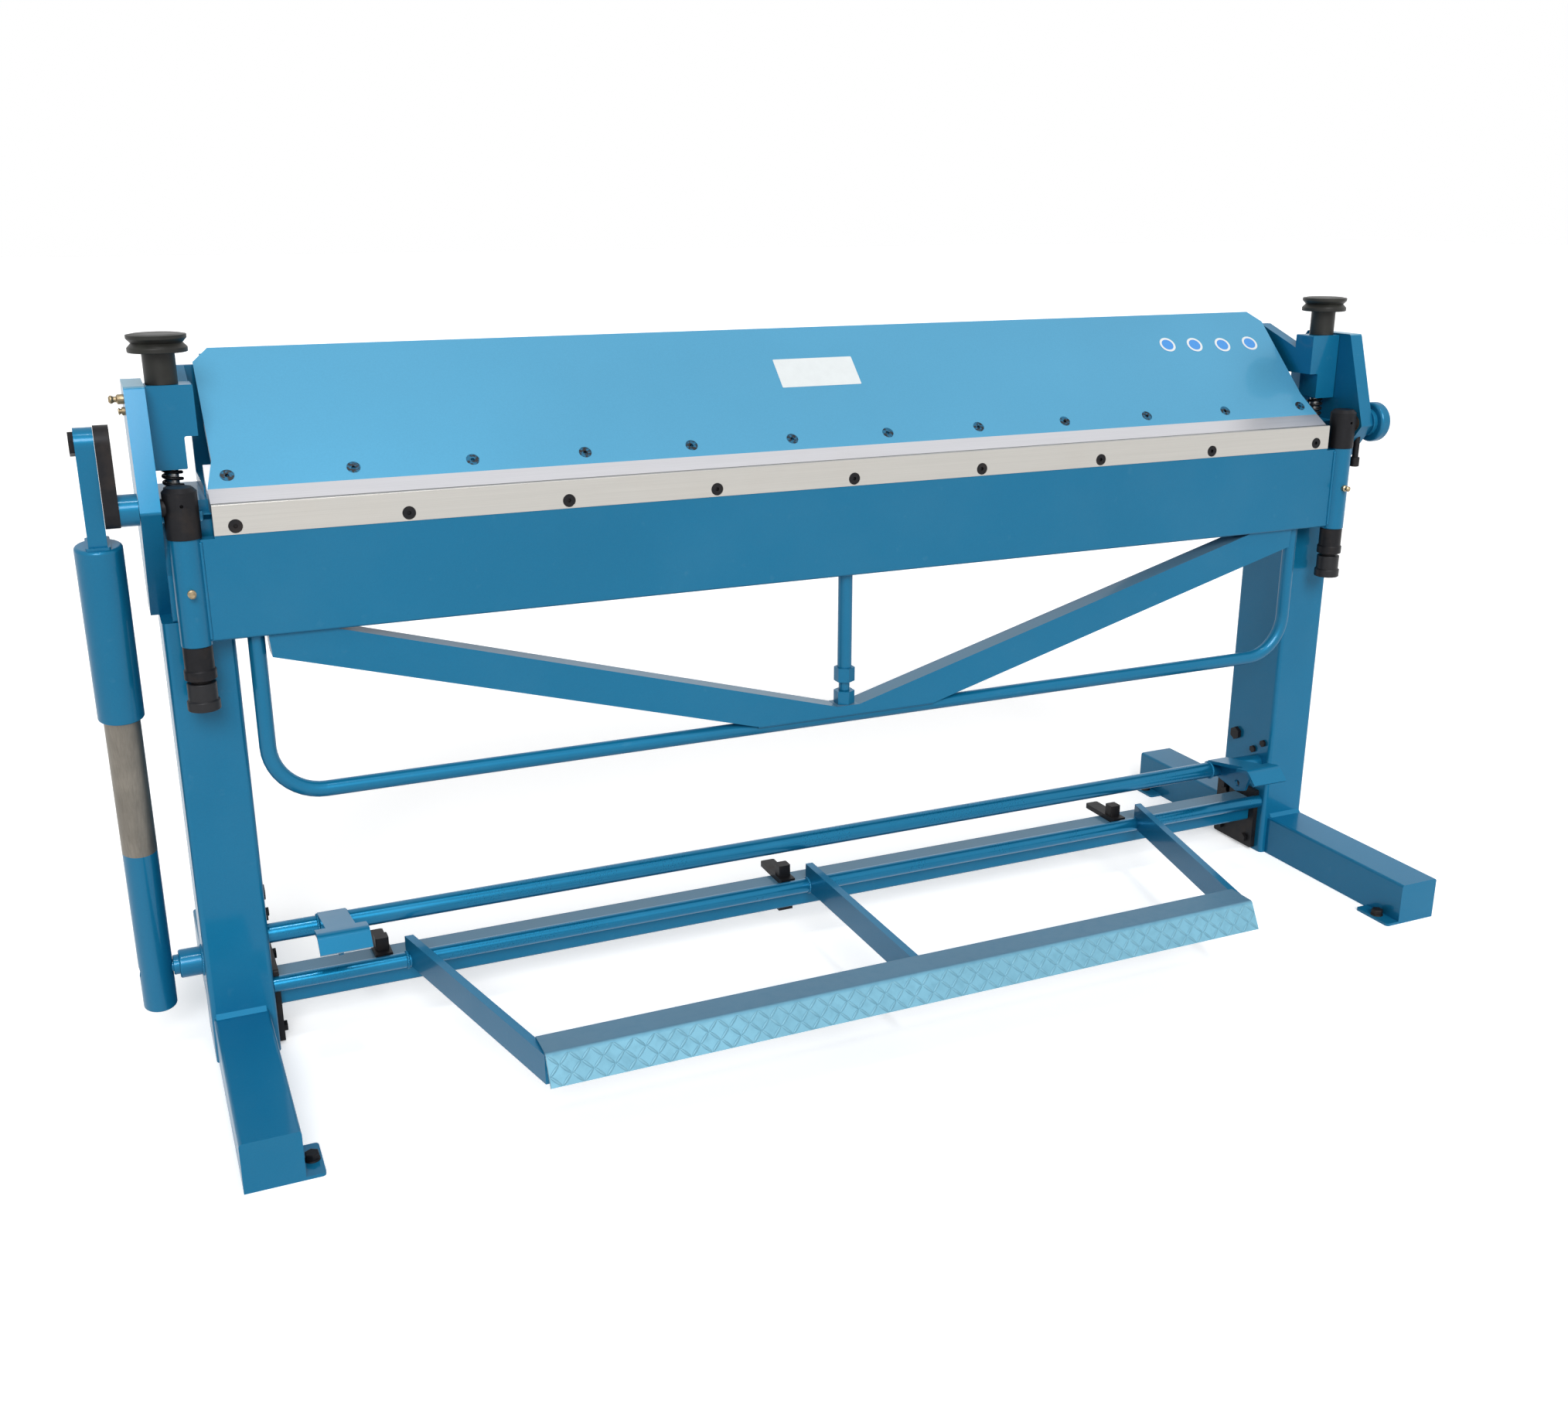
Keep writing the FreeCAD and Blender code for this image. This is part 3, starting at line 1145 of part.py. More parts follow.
def pedal_arms():
    """Three flat bars from the shaft to the tread, the outer two leaning inwards."""
    shapes = []
    for rear, front in zip(ARM_REAR_XS, ARM_FRONT_XS):
        lean = (front - rear) / (ARM_FRONT - ARM_BACK)
        half = ARM_THICK / 2 * math.hypot(1, lean)
        points = [(rear - half, ARM_BACK), (rear + half, ARM_BACK), (front + half, ARM_FRONT),
                  (front - half, ARM_FRONT)]
        bar = prism_z(points, ARM_LOW, ARM_HIGH)
        bar = bar.cut(rod_x(PEDAL_Y, PEDAL_Z, PEDAL_R, rear - 60, rear + 60))
        heel = box(rear - 60, rear + 60, PEDAL_Y, ARM_BACK + 1, ARM_LOW - 1, PEDAL_Z)
        shapes.append(bar.cut(heel))
    return shapes


def pedal_tread():
    """Folded tread plate across the front of the three arms."""
    top = ARM_HIGH + TREAD_THICK
    drop = math.hypot(TREAD_BEND - TREAD_FRONT, TREAD_DROP)
    ny = TREAD_DROP / drop * TREAD_THICK
    nz = (TREAD_FRONT - TREAD_BEND) / drop * TREAD_THICK
    y_in = TREAD_FRONT + ny
    z_in = top - TREAD_DROP + nz
    y_bend = y_in + (ARM_HIGH - z_in) * (TREAD_BEND - TREAD_FRONT) / TREAD_DROP
    points = [(TREAD_BACK, ARM_HIGH), (TREAD_BACK, top), (TREAD_BEND, top, 6),
              (TREAD_FRONT, top - TREAD_DROP), (y_in, z_in), (y_bend, ARM_HIGH, 1.5)]
    reach = ARM_FRONT_HALF + ARM_THICK / 2
    return prism_x(points, PEDAL_MID - reach, PEDAL_MID + reach)


def pedal_crank():
    """Right crank on the pedal shaft: hub, throw, link pin and catch sector."""
    x0 = CRANK_X
    x1 = CRANK_X + CRANK_PLATE
    hub = rod_x(PEDAL_Y, PEDAL_Z, PEDAL_END_R + 3.4, CATCH_X, x1)
    web = bar_between((PEDAL_Y + 2, PEDAL_Z), CRANK_PIN, 10, x0, x1)
    pin = rod_x(CRANK_PIN[0], CRANK_PIN[1], LINK_PIN_R, x0, LINK_X + LINK_THICK + 1.5)
    step = 66.0
    a = polar(PEDAL_Y, PEDAL_Z, CATCH_R, 85)
    m = polar(PEDAL_Y, PEDAL_Z, CATCH_R, (85 + step) / 2)
    b = polar(PEDAL_Y, PEDAL_Z, CATCH_R, step)
    c = polar(PEDAL_Y, PEDAL_Z, CATCH_R - 9, step)
    d = polar(PEDAL_Y, PEDAL_Z, CATCH_R - 9, 46)
    e = polar(PEDAL_Y, PEDAL_Z, CATCH_R - 9, 26)
    o = (PEDAL_Y, PEDAL_Z)

    def at(p):
        return V(CATCH_X, p[0], p[1])

    wire = Part.Wire([
        Part.makeLine(at(o), at(a)),
        Part.Arc(at(a), at(m), at(b)).toShape(),
        Part.makeLine(at(b), at(c)),
        Part.Arc(at(c), at(d), at(e)).toShape(),
        Part.makeLine(at(e), at(o)),
    ])
    sector = Part.Face(wire).extrude(V(CATCH_THICK, 0, 0))
    body = join([hub, web, pin, sector])
    return body.cut(rod_x(PEDAL_Y, PEDAL_Z, PEDAL_END_R, CATCH_X - 1, x1 + 1))


def link():
    """Right link from the pedal crank up to the rocker's short arm."""
    x0 = LINK_X
    x1 = LINK_X + LINK_THICK
    lower = CRANK_PIN
    upper = ROCKER_PIN
    body = join([bar_between(lower, upper, 7, x0, x1),
                 rod_x(lower[0], lower[1], 10, x0, x1),
                 rod_x(upper[0], upper[1], 8.6, x0, x1)])
    body = body.cut(rod_x(lower[0], lower[1], LINK_PIN_R + RUN, x0 - 1, x1 + 1))
    return body.cut(rod_x(upper[0], upper[1], LINK_TOP_PIN_R + LINK_TOP_PLAY, x0 - 1, x1 + 1))


def rocker():
    """Right rocker: short arm with the link's pin, long slotted arm for the rod."""
    x0 = ROCKER_X
    x1 = ROCKER_X + ROCKER_THICK
    centre = (ROCKER_Y, ROCKER_Z)
    down = 180 + ROCKER_SWING / 2
    far = math.hypot(ROCKER_LONG, CLAMP_TRAVEL / 2)
    half = FORK_PIN_R + FORK_PLAY
    slot_in = polar(ROCKER_Y, ROCKER_Z, ROCKER_LONG - FORK_PLAY, down)
    slot_out = polar(ROCKER_Y, ROCKER_Z, far + FORK_PLAY, down)
    body = join([bar_between(centre, slot_out, half + 5, x0, x1),
                 rod_x(ROCKER_Y, ROCKER_Z, 12.5, x0, x1 + 20),
                 bar_between(centre, ROCKER_PIN, 8, x0, x1),
                 rod_x(ROCKER_PIN[0], ROCKER_PIN[1], LINK_TOP_PIN_R, LINK_X - 0.5, x1)])
    body = body.cut(bar_between(slot_in, slot_out, half, x0 - 1, x1 + 1))
    return body.cut(rod_x(ROCKER_Y, ROCKER_Z, ROCKER_BOLT_R + RUN, x0 - 1, x1 + 21))


def release_shaft():
    end = LEG_IN - GAP
    tip = CATCH_X + CATCH_THICK + 2
    middle = rod_x(RELEASE_Y, RELEASE_Z, RELEASE_R, -end, end)
    return join([middle, rod_x(RELEASE_Y, RELEASE_Z, PEDAL_END_R, -tip, tip)])


def release_pedal():
    """Right release pedal: narrow neck, wide curled pad and a web with a spring hole."""
    x = RELEASE_PEDAL_X
    y = RELEASE_Y
    z = RELEASE_Z
    strip = around(y, z, [(4, 13), (-119, 36), (-134, 39, 12), (-156, 18), (-161, 22),
                          (-136, 46, 16), (-118, 43), (4, 20)])
    pad = prism_x(strip, x - 40, x + 40)
    for a, b in ((x - 41, x - 23), (x + 23, x + 41)):
        pad = pad.cut(box(a, b, y - 104, y + 54, z - 5, z + 65))
    web = prism_x(around(y, z, [(-2, -15), (-64, -27, 8), (-90, -19, 8), (-110, 37), (-2, 17)]),
                  x - 3, x + 3)
    body = join([pad, web])
    body = body.cut(rod_x(y - 67, z - 9, 7, x - 4, x + 4))
    return body.cut(rod_x(y, z, RELEASE_R, x - 50, x + 50))


def latch_hook():
    """Right catch finger, drawn just lifted clear of the catch sector."""
    x0 = CATCH_X
    x1 = CATCH_X + CATCH_THICK
    hub = rod_x(RELEASE_Y, RELEASE_Z, PEDAL_END_R + 7, x0, x1)
    finger = prism_x(around(RELEASE_Y, RELEASE_Z, [(-11, -11), (6, -45), (14, -49), (21, -44),
                                                   (15, -7)]), x0, x1)
    body = join([hub, finger])
    return body.cut(rod_x(RELEASE_Y, RELEASE_Z, PEDAL_END_R, x0 - 1, x1 + 1))


def ring_part(y, z, outer, inner, x0, x1):
    return rod_x(y, z, outer, x0, x1).cut(rod_x(y, z, inner, x0 - 1, x1 + 1))


def build():
    """Every node name with its list of separate solids."""
    bush = ring_part(FOLD_Y, FOLD_Z, BUSH_R, JOURNAL_R + RUN, PLATE_IN, PLATE_OUT)
    rod_bush = rod_z(ROD_X, ROD_Y, ROD_BUSH_R, BED_UNDER - BED_WALL, FOLD_Z)
    rod_bush = rod_bush.cut(rod_z(ROD_X, ROD_Y, ROD_R + RUN, FOLD_Z - 40, FOLD_Z + 1))
    stub = ring_part(FOLD_Y, FOLD_Z, STUB_R, JOURNAL_R, -CRANK_IN, -PLATE_OUT - SIDE_GAP)
    nodes = {
        "leg_left": [leg_left()],
        "leg_right": [leg()],
        "side_plate_left": [mirrored(side_plate())],
        "side_plate_right": [side_plate().cut(clamp_screw_bore())],
        "bed_beam": [bed_beam()],
        "bed_bar": [bed_bar()],
        "crossbar": [crossbar()],
        "crossbar_end_plates": both(end_plate()),
        "inner_bolts": [s for bolt in inner_bolts() for s in both(bolt)],
        "shaft_straps": strap_parts(),
        "strap_bolts": strap_bolts(),
        "pivot_bushes": [bush.cut(clamp_screw_bore()), mirrored(bush)],
        "rod_bushes": both(rod_bush),
        "plate_nipples": plate_nipples(),
        "rocker_bolts": both(rocker_bolt()),
        "pivot_collar": [pivot_collar()],
        "clamp_screw": [clamp_screw()],
        "apron": [apron()],
        "folding_blade": [folding_blade()],
        "blade_screws": blade_screws(),
        "brace": [brace()],
        "handle": [handle()],
        "truss_rod": [truss_rod()],
        "truss_stud": [truss_stud()],
        "truss_nut": [truss_nut()],
        "lock_nuts": lock_nuts(),
        "adjust_nut_left": [mirrored(adjust_nut())],
        "adjust_nut_right": [adjust_nut()],
        "pivot_head_left": [pivot_head(-1)],
        "pivot_head_right": [pivot_head(1)],
        "barrel_nipples": both(barrel_nipple()),
        "spacer_stub": [stub],
        "crank_plate": [crank_plate()],
        "end_disc": [end_disc()],
        "strut_tube": [strut_tube()],
        "gas_cylinder": [gas_cylinder()],
        "strut_sleeve": [strut_sleeve()],
        "piston_rod": [piston_rod()],
        "eye_bar": [eye_bar()],
        "eye_bolt": [eye_bolt()],
        "clamp_plate": [clamp_plate()],
        "clamp_frame": [clamp_frame()],
        "nose_bar": [nose_bar()],
        "nose_bolts": nose_bolts(),
        "end_block_left": [mirrored(end_block())],
        "end_block_right": [end_block()],
        "pull_rods": both(pull_rod()),
        "knob_left": [mirrored(knob())],
        "knob_right": [knob()],
        "return_springs": both(return_spring()),
        "pedal_shaft": [pedal_shaft()],
        "pedal_arms": pedal_arms(),
        "pedal_tread": [pedal_tread()],
        "pedal_cranks": both(pedal_crank()),
        "links": both(link()),
        "rockers": both(rocker()),
        "release_shaft": [release_shaft()],
        "release_pedals": both(release_pedal()),
        "latch_hooks": both(latch_hook()),
    }
    return nodes


def main():
    os.makedirs("parts", exist_ok=True)
    for name, shapes in build().items():
        if any(len(s.Solids) != 1 or not s.isValid() for s in shapes):
            raise ValueError(name + " is not made of sound single solids")
        solids = [s.Solids[0] for s in shapes]
        shape = solids[0] if len(solids) == 1 else Part.makeCompound(solids)
        shape.exportStep("parts/" + name + ".step")


main()
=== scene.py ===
"""Looks of the foot operated folding machine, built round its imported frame.

Metres, +Z up, the working length along X and the operator at -Y. The shapes come
from the frame. This file adds the finishes, the small fasteners, the weld beads,
the raised pattern of the tread, the blank label and the studio.
"""

import math

import bmesh
import bpy
from bpy.props import FloatProperty, FloatVectorProperty, IntProperty, PointerProperty
from bpy.types import Operator, Panel, PropertyGroup
from mathutils import Euler, Matrix, Vector


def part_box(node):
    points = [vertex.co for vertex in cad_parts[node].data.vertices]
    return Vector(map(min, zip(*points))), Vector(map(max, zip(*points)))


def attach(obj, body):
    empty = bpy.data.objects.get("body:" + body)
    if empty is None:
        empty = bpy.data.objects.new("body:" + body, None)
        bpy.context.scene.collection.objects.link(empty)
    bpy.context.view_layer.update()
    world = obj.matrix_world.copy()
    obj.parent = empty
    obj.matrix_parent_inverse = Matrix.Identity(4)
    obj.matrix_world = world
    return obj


bl_info = {
    "name": "Folding Machine Looks",
    "version": (1, 0, 0),
    "blender": (4, 5, 0),
    "location": "3D View > Sidebar > Folder",
    "description": "Finishes, small fittings and studio for a foot operated folding machine",
    "category": "Object",
}

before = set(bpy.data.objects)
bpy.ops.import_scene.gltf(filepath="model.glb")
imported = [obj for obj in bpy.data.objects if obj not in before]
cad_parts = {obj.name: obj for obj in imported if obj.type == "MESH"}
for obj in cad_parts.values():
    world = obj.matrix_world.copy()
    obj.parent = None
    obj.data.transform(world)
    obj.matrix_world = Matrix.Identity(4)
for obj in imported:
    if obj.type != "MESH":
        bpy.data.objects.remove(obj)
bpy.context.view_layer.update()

# The photograph and the camera that took it
PHOTO_WIDTH = 2028
PHOTO_HEIGHT = 1820
FOCAL_PIXELS = 2020.1
SENSOR = 36.0
CAMERA_AT = Vector((-1.167, -2.424, 1.324))
CAMERA_PITCH = -17.884
CAMERA_YAW = -23.918

# Light that the sky gives level with the floor and straight above
HORIZON_LIGHT = 0.15
ZENITH_LIGHT = 0.36

# Places read from the photograph, in its own pixels
LABEL_PIXEL = (1057, 481)
DISC_PIXELS = [(1510, 446), (1545, 446), (1581, 446), (1616, 444)]

# Places on the frame, in metres
SLOPE_LOW = Vector((0, -0.047, 0.927))
SLOPE_HIGH = Vector((0, 0.144, 1.110))
FOLD_Y = -0.075
BARREL_X = 1.060
BARREL_RADIUS = 0.022
BARREL_TOP = 0.862
APRON_FRONT = -0.084
APRON_LOW = 0.711
HANDLE_X = 0.976
HANDLE_Y = -0.055
HANDLE_RADIUS = 0.0125
BRACE_LOW = 0.4568
BRACE_FOOT = 0.172
STUD_RADIUS = 0.009
STUD_LOW = 0.4986
STUD_HIGH = 0.5158
PEDAL_SHAFT = Vector((0, -0.010, 0.111))
PEDAL_SHAFT_RADIUS = 0.013
PEDAL_MID = -0.041
ARM_REAR_HALF = 0.739
ARM_HALF = 0.007
RELEASE_SHAFT = Vector((0, 0.006, 0.195))
RELEASE_RADIUS = 0.016
RELEASE_X = 0.900
RELEASE_NECK = 0.023
TREAD_BEND = Vector((0, -0.473, 0.155))
TREAD_LIP = Vector((0, -0.497, 0.111))
STRUT_FOOT = Vector((-1.1739, 0.040, 0.153))
STRUT_EYE = Vector((-1.1739, -0.075, 1.006))
STRUT_PAINT_TOP = 0.2185
BOSS_X = -1.103
BOSS_RADIUS = 0.023
LEG_FRONT = -0.030
LEG_REAR = 0.110
FOOT_TOP = 0.080
FOOT_IN = 1.018
FOOT_OUT = 1.097
ANCHOR_X = 1.001
ANCHOR_Y = 0.370
TAB_THICK = 0.005

# Weld beads in metres: how far the barrels' beads start above the apron's edge and stop
# below the barrel's top, and how far the brace's beads lie from the handle's middle
BARREL_SEAM_LOW = 0.004
BARREL_SEAM_HIGH = 0.003
BRACE_SEAM = 0.016

# Weld beads: how far they ripple and swell, how much thinner an end is, and how finely
# they are divided
BEAD_SIDES = 8
BEAD_TAPER = 0.35
BEAD_RIPPLE = 0.16
STATIONS_PER_RIPPLE = 4
FEWEST_STATIONS = 24
FOOT_BEAD = {"swell": 1.8, "ripple": 0.05}
BARREL_BEAD = {"swell": 1.2, "ripple": 0.03}

# How far a fitting starts below the surface that it stands on, in metres
SINK = 0.0002

# Anchor bolts: the washer's thickness and the bolt's chamfer in metres, the washer's
# lower and upper radius as shares of the bolt's flats
WASHER_THICK = 0.0025
BOLT_CHAMFER = 0.0014
WASHER_FOOT = 0.62
WASHER_TOP = 0.58

# Tread bars: rows on the front fold, the first row's distance from the bend and the
# part of the fold that the rows leave free in metres, and the slant in degrees
BAR_ROWS = 3
BAR_FIRST_DROP = 0.0115
BAR_SPARE = 0.020
BAR_SLANT = 45

# The label's corner radius, and how far the thread stands out at root and crest
LABEL_CORNER = 0.0015
THREAD_ROOT = 0.0001
THREAD_CREST = 0.0009

# Depth at which the tread's finish turns from its top to its front, and the half width
# within which a lock nut is painted
TREAD_TOP_END = -0.470
TREAD_FRONT_START = -0.476
MIDDLE_HALF = 0.5

# The blue paint's own metal look, dullness and clear coat
PAINT_METAL = 0.3
PAINT_DULL = 0.34
COAT = {"coat_weight": 0.35, "coat_roughness": 0.10}

# Tints that the finishes mix in
SCUFFED = (0.12, 0.30, 0.42)
STAINED = (0.40, 0.34, 0.28)
RUSTY = (0.060, 0.044, 0.034)
KNOB_DUST = (0.060, 0.064, 0.050)
OILY = (0.20, 0.17, 0.12)
TARNISHED = (0.13, 0.09, 0.05)
SMEARED = (0.090, 0.085, 0.075)
GRIMY = (0.080, 0.210, 0.290)
SOLE_RUBBED = (0.250, 0.500, 0.620)

# The studio's floor, how far the camera sees, and the lamps: the way to each, its
# strength, its spread and whether reflections show it
FLOOR_HALF = 40
FLOOR_DULL = (0.42, 0.42, 0.42, 1)
FLOOR_GLOW = 0.40
WHITE = (1, 1, 1, 1)
SIGHT = 200
LAMPS = {
    "key_lamp": ((-0.22, -0.90, 0.60), 2.4, 0.50, True),
    "side_lamp": ((0.85, -0.20, 0.70), 0.4, 0.60, False),
    "rear_lamp": ((0.25, 0.85, 0.35), 0.9, 0.60, False),
    "streak_lamp": ((0.05, -0.30, 0.95), 0.35, 0.10, True),
}

# Pieces of the frame by finish
PAINTED = ("leg_left leg_right bed_beam apron handle truss_rod truss_stud truss_nut "
           "end_block_left end_block_right clamp_frame spacer_stub end_disc pivot_collar "
           "strut_sleeve eye_bar pedal_arms release_pedals").split()
SHAFTS = ["pedal_shaft", "release_shaft"]
# Pieces whose tops grey with dust and a painted sheen
DUSTY_AND_SHEENED = ["crossbar", "brace"]
# Side plates, with tops paled by rubbing and a painted sheen
PLATES = ["side_plate_left", "side_plate_right"]
BLACK = ("crossbar_end_plates inner_bolts shaft_straps strap_bolts rocker_bolts pivot_head_left "
         "pivot_head_right adjust_nut_left adjust_nut_right crank_plate eye_bolt clamp_screw "
         "blade_screws return_springs").split()
BARE = "pull_rods pedal_cranks links rockers latch_hooks gas_cylinder piston_rod".split()
BRASS = ["pivot_bushes", "rod_bushes", "plate_nipples", "barrel_nipples"]
KNOBS = ["knob_left", "knob_right"]


class FolderSizes(PropertyGroup):
    """Sizes of the small fittings that the frame leaves to this file."""

    label_width: FloatProperty(name="Label width", description="Width of the blank label",
                               default=0.150, unit="LENGTH")
    label_height: FloatProperty(name="Label height", description="Height of the blank label",
                                default=0.062, unit="LENGTH")
    label_thickness: FloatProperty(name="Label thickness",
                                   description="How far the label stands up",
                                   default=0.0004, unit="LENGTH")
    disc_radius: FloatProperty(name="Disc radius", description="Radius of each round blue disc",
                               default=0.017, unit="LENGTH")
    disc_rim: FloatProperty(name="Disc rim", description="Width of the pale rim of each disc",
                            default=0.0045, unit="LENGTH")
    bar_length: FloatProperty(name="Tread bar length", description="Length of one raised tread bar",
                              default=0.023, unit="LENGTH")
    bar_width: FloatProperty(name="Tread bar width", description="Width of one raised tread bar",
                             default=0.0052, unit="LENGTH")
    bar_height: FloatProperty(name="Tread bar height", description="How far a tread bar stands up",
                              default=0.0011, unit="LENGTH")
    bar_pitch: FloatProperty(name="Tread bar pitch", description="Distance between tread bars",
                             default=0.0165, unit="LENGTH")
    bead_radius: FloatProperty(name="Weld bead radius", description="Radius of a weld bead",
                               default=0.0025, unit="LENGTH")
    ripple_pitch: FloatProperty(name="Weld ripple", description="Distance between weld ripples",
                                default=0.0032, unit="LENGTH")
    thread_pitch: FloatProperty(name="Thread pitch", description="Pitch of the adjusting stud",
                                default=0.002, unit="LENGTH")
    bolt_flats: FloatProperty(name="Bolt flats", description="Size across the anchor bolt's flats",
                              default=0.019, unit="LENGTH")
    bolt_height: FloatProperty(name="Bolt height", description="Height of the anchor bolt's head",
                               default=0.009, unit="LENGTH")
    ring_steps: IntProperty(name="Ring steps", description="Divisions of a full turned ring",
                            default=40, min=12, max=96)


class FolderColours(PropertyGroup):
    """Base colours of the finishes."""

    blue: FloatVectorProperty(name="Blue paint", description="Paint of the frame", subtype="COLOR",
                              default=(0.005, 0.158, 0.305), min=0, max=1)
    # A lighter copy of the frame's blue for the sloping plate: painted light, where the plate faces
    # the lamp
    blue_slope_painted_light: FloatVectorProperty(name="Sloping plate", description="Paint of the sloping plate",
                                    subtype="COLOR", default=(0.085, 0.330, 0.525), min=0, max=1)
    # A lighter copy of the blue for the tread's front fold: painted light, where the fold faces the
    # lamp
    blue_tread: FloatVectorProperty(name="Tread", description="Worn paint of the tread",
                                    subtype="COLOR", default=(0.190, 0.430, 0.560), min=0, max=1)
    black: FloatVectorProperty(name="Black steel", description="Blackened steel", subtype="COLOR",
                               default=(0.012, 0.012, 0.014), min=0, max=1)
    knob: FloatVectorProperty(name="Knob", description="Knob plastic", subtype="COLOR",
                              default=(0.014, 0.014, 0.012), min=0, max=1)
    ground: FloatVectorProperty(name="Ground blade", description="Ground folding blade and bed bar",
                                subtype="COLOR", default=(0.500, 0.485, 0.455), min=0, max=1)
    planed: FloatVectorProperty(name="Planed nose bar",
                                description="Steel of the clamping nose bar",
                                subtype="COLOR", default=(0.630, 0.630, 0.660), min=0, max=1)
    # Grey for faces that look up: settled dust, and a painted sheen of the pale surroundings
    dust: FloatVectorProperty(name="Dust", description="Dust settled on flat tops", subtype="COLOR",
                              default=(0.200, 0.255, 0.280), min=0, max=1)
    # Paler tops of the side plates: rubbed paint, and a painted sheen of the pale surroundings
    rubbed: FloatVectorProperty(name="Rubbed plate",
                                description="Paled paint of the side plates' tops",
                                subtype="COLOR", default=(0.200, 0.420, 0.540), min=0, max=1)
    tube: FloatVectorProperty(name="Bare tube", description="Unpainted strut tube", subtype="COLOR",
                              default=(0.230, 0.210, 0.180), min=0, max=1)
    bare: FloatVectorProperty(name="Oiled steel", description="Steel of the inner linkage",
                              subtype="COLOR", default=(0.400, 0.400, 0.400), min=0, max=1)
    brass: FloatVectorProperty(name="Brass", description="Nipples and bushes", subtype="COLOR",
                               default=(0.400, 0.320, 0.200), min=0, max=1)
    label: FloatVectorProperty(name="Label", description="Blank paper label", subtype="COLOR",
                               default=(0.700, 0.740, 0.750), min=0, max=1)
    disc: FloatVectorProperty(name="Disc", description="Middle of the round discs", subtype="COLOR",
                              default=(0.050, 0.270, 0.680), min=0, max=1)
    floor: FloatVectorProperty(name="Floor", description="Studio floor", subtype="COLOR",
                               default=(0.880, 0.880, 0.880), min=0, max=1)


class Socket:
    """The output of a node, with the sums that the finishes need."""

    def __init__(self, finish, socket):
        self.finish = finish
        self.socket = socket

    def _math(self, operation, first, second):
        return self.finish.node("Math", {"operation": operation}, {0: first, 1: second})

    def __add__(self, other):
        return self._math("ADD", self, other)

    def __radd__(self, other):
        return self._math("ADD", other, self)

    def __sub__(self, other):
        return self._math("SUBTRACT", self, other)

    def __rsub__(self, other):
        return self._math("SUBTRACT", other, self)

    def __mul__(self, other):
        return self._math("MULTIPLY", self, other)

    def __rmul__(self, other):
        return self._math("MULTIPLY", other, self)

    def __lt__(self, other):
        return self._math("LESS_THAN", self, other)

    def __gt__(self, other):
        return self._math("GREATER_THAN", self, other)


class Finish:
    """One material under construction."""

    def __init__(self, name):
        self.material = bpy.data.materials.new(name)
        self.material.use_nodes = True
        self.tree = self.material.node_tree
        self.tree.nodes.clear()
        self.place = self.node("TexCoord", output="Object")

    def node(self, kind, settings=None, inputs=None, output=0):
        """Add a node, set it up first, then fill or link its sockets."""
        made = self.tree.nodes.new("ShaderNode" + kind)
        for name, value in (settings or {}).items():
            if name == "stops":
                for stop, (position, shade) in zip(made.color_ramp.elements, value):
                    stop.position = position
                    stop.color = shade
            else:
                setattr(made, name, value)
        for name, value in (inputs or {}).items():
            if isinstance(value, Socket):
                self.tree.links.new(value.socket, made.inputs[name])
            else:
                made.inputs[name].default_value = value
        return Socket(self, made.outputs[output])

    def noise(self, scale, detail=2.0, stretch=None, turn=None):
        """Noise on the object's own coordinates, optionally drawn out into streaks."""
        place = self.place
        if stretch:
            inputs = {"Vector": place, "Scale": stretch}
            if turn:
                inputs["Rotation"] = turn
            place = self.node("Mapping", None, inputs)
        inputs = {"Vector": place, "Scale": scale, "Detail": detail}
        return self.node("TexNoise", None, inputs, "Fac")

    def ramp(self, value, low, high):
        """Zero below low, one above high, straight between."""
        return self.node("MapRange", None, {"Value": value, "From Min": low, "From Max": high})

    def shaded(self, colour, shade):
        """A colour made lighter or darker by a number that varies."""
        inputs = {0: rgba(colour)[:3] if not isinstance(colour, Socket) else colour, "Scale": shade}
        return self.node("VectorMath", {"operation": "SCALE"}, inputs)

    def mix(self, share, first, second):
        """Blend of two colours."""
        inputs = {0: share}
        for index, value in ((6, first), (7, second)):
            inputs[index] = value if isinstance(value, Socket) else rgba(value)
        return self.node("Mix", {"data_type": "RGBA"}, inputs, 2)

    def upward(self):
        """One on faces that look up, where dust settles and a painted sheen of the pale
        surroundings lies.
        """
        facing = self.node("TexCoord", output="Normal")
        return self.ramp(self.node("SeparateXYZ", None, {0: facing}, "Z"), 0.50, 0.85)

    def bump(self, height, strength, distance):
        """Normal from a height."""
        inputs = {"Height": height, "Strength": strength, "Distance": distance}
        return self.node("Bump", None, inputs)

    def surface(self, **inputs):
        """Close the material with one main shader."""
        named = {name.replace("_", " ").title().replace("Ior", "IOR"): value
                 for name, value in inputs.items()}
        return self.close(self.node("BsdfPrincipled", None, named))

    def close(self, shader):
        """Link a shader to the material's surface."""
        made = self.tree.nodes.new("ShaderNodeOutputMaterial")
        self.tree.links.new(shader.socket, made.inputs["Surface"])
        return self.material


def rgba(colour):
    """Three numbers as a socket colour."""
    return (colour[0], colour[1], colour[2], 1.0)


def colours():
    """Base colours, as the scene holds them."""
    return bpy.context.scene.folder_colours


def sizes():
    """Sizes of the small fittings, as the scene holds them."""
    return bpy.context.scene.folder_sizes


def clouded(f, colour):
    """Blue paint's colour in slow clouds, and the fine grain that it also has."""
    cloud = f.noise(2.6, 3)
    grain = f.noise(420, 2)
    return f.shaded(colour, 0.86 + 0.16 * cloud + 0.12 * grain), grain


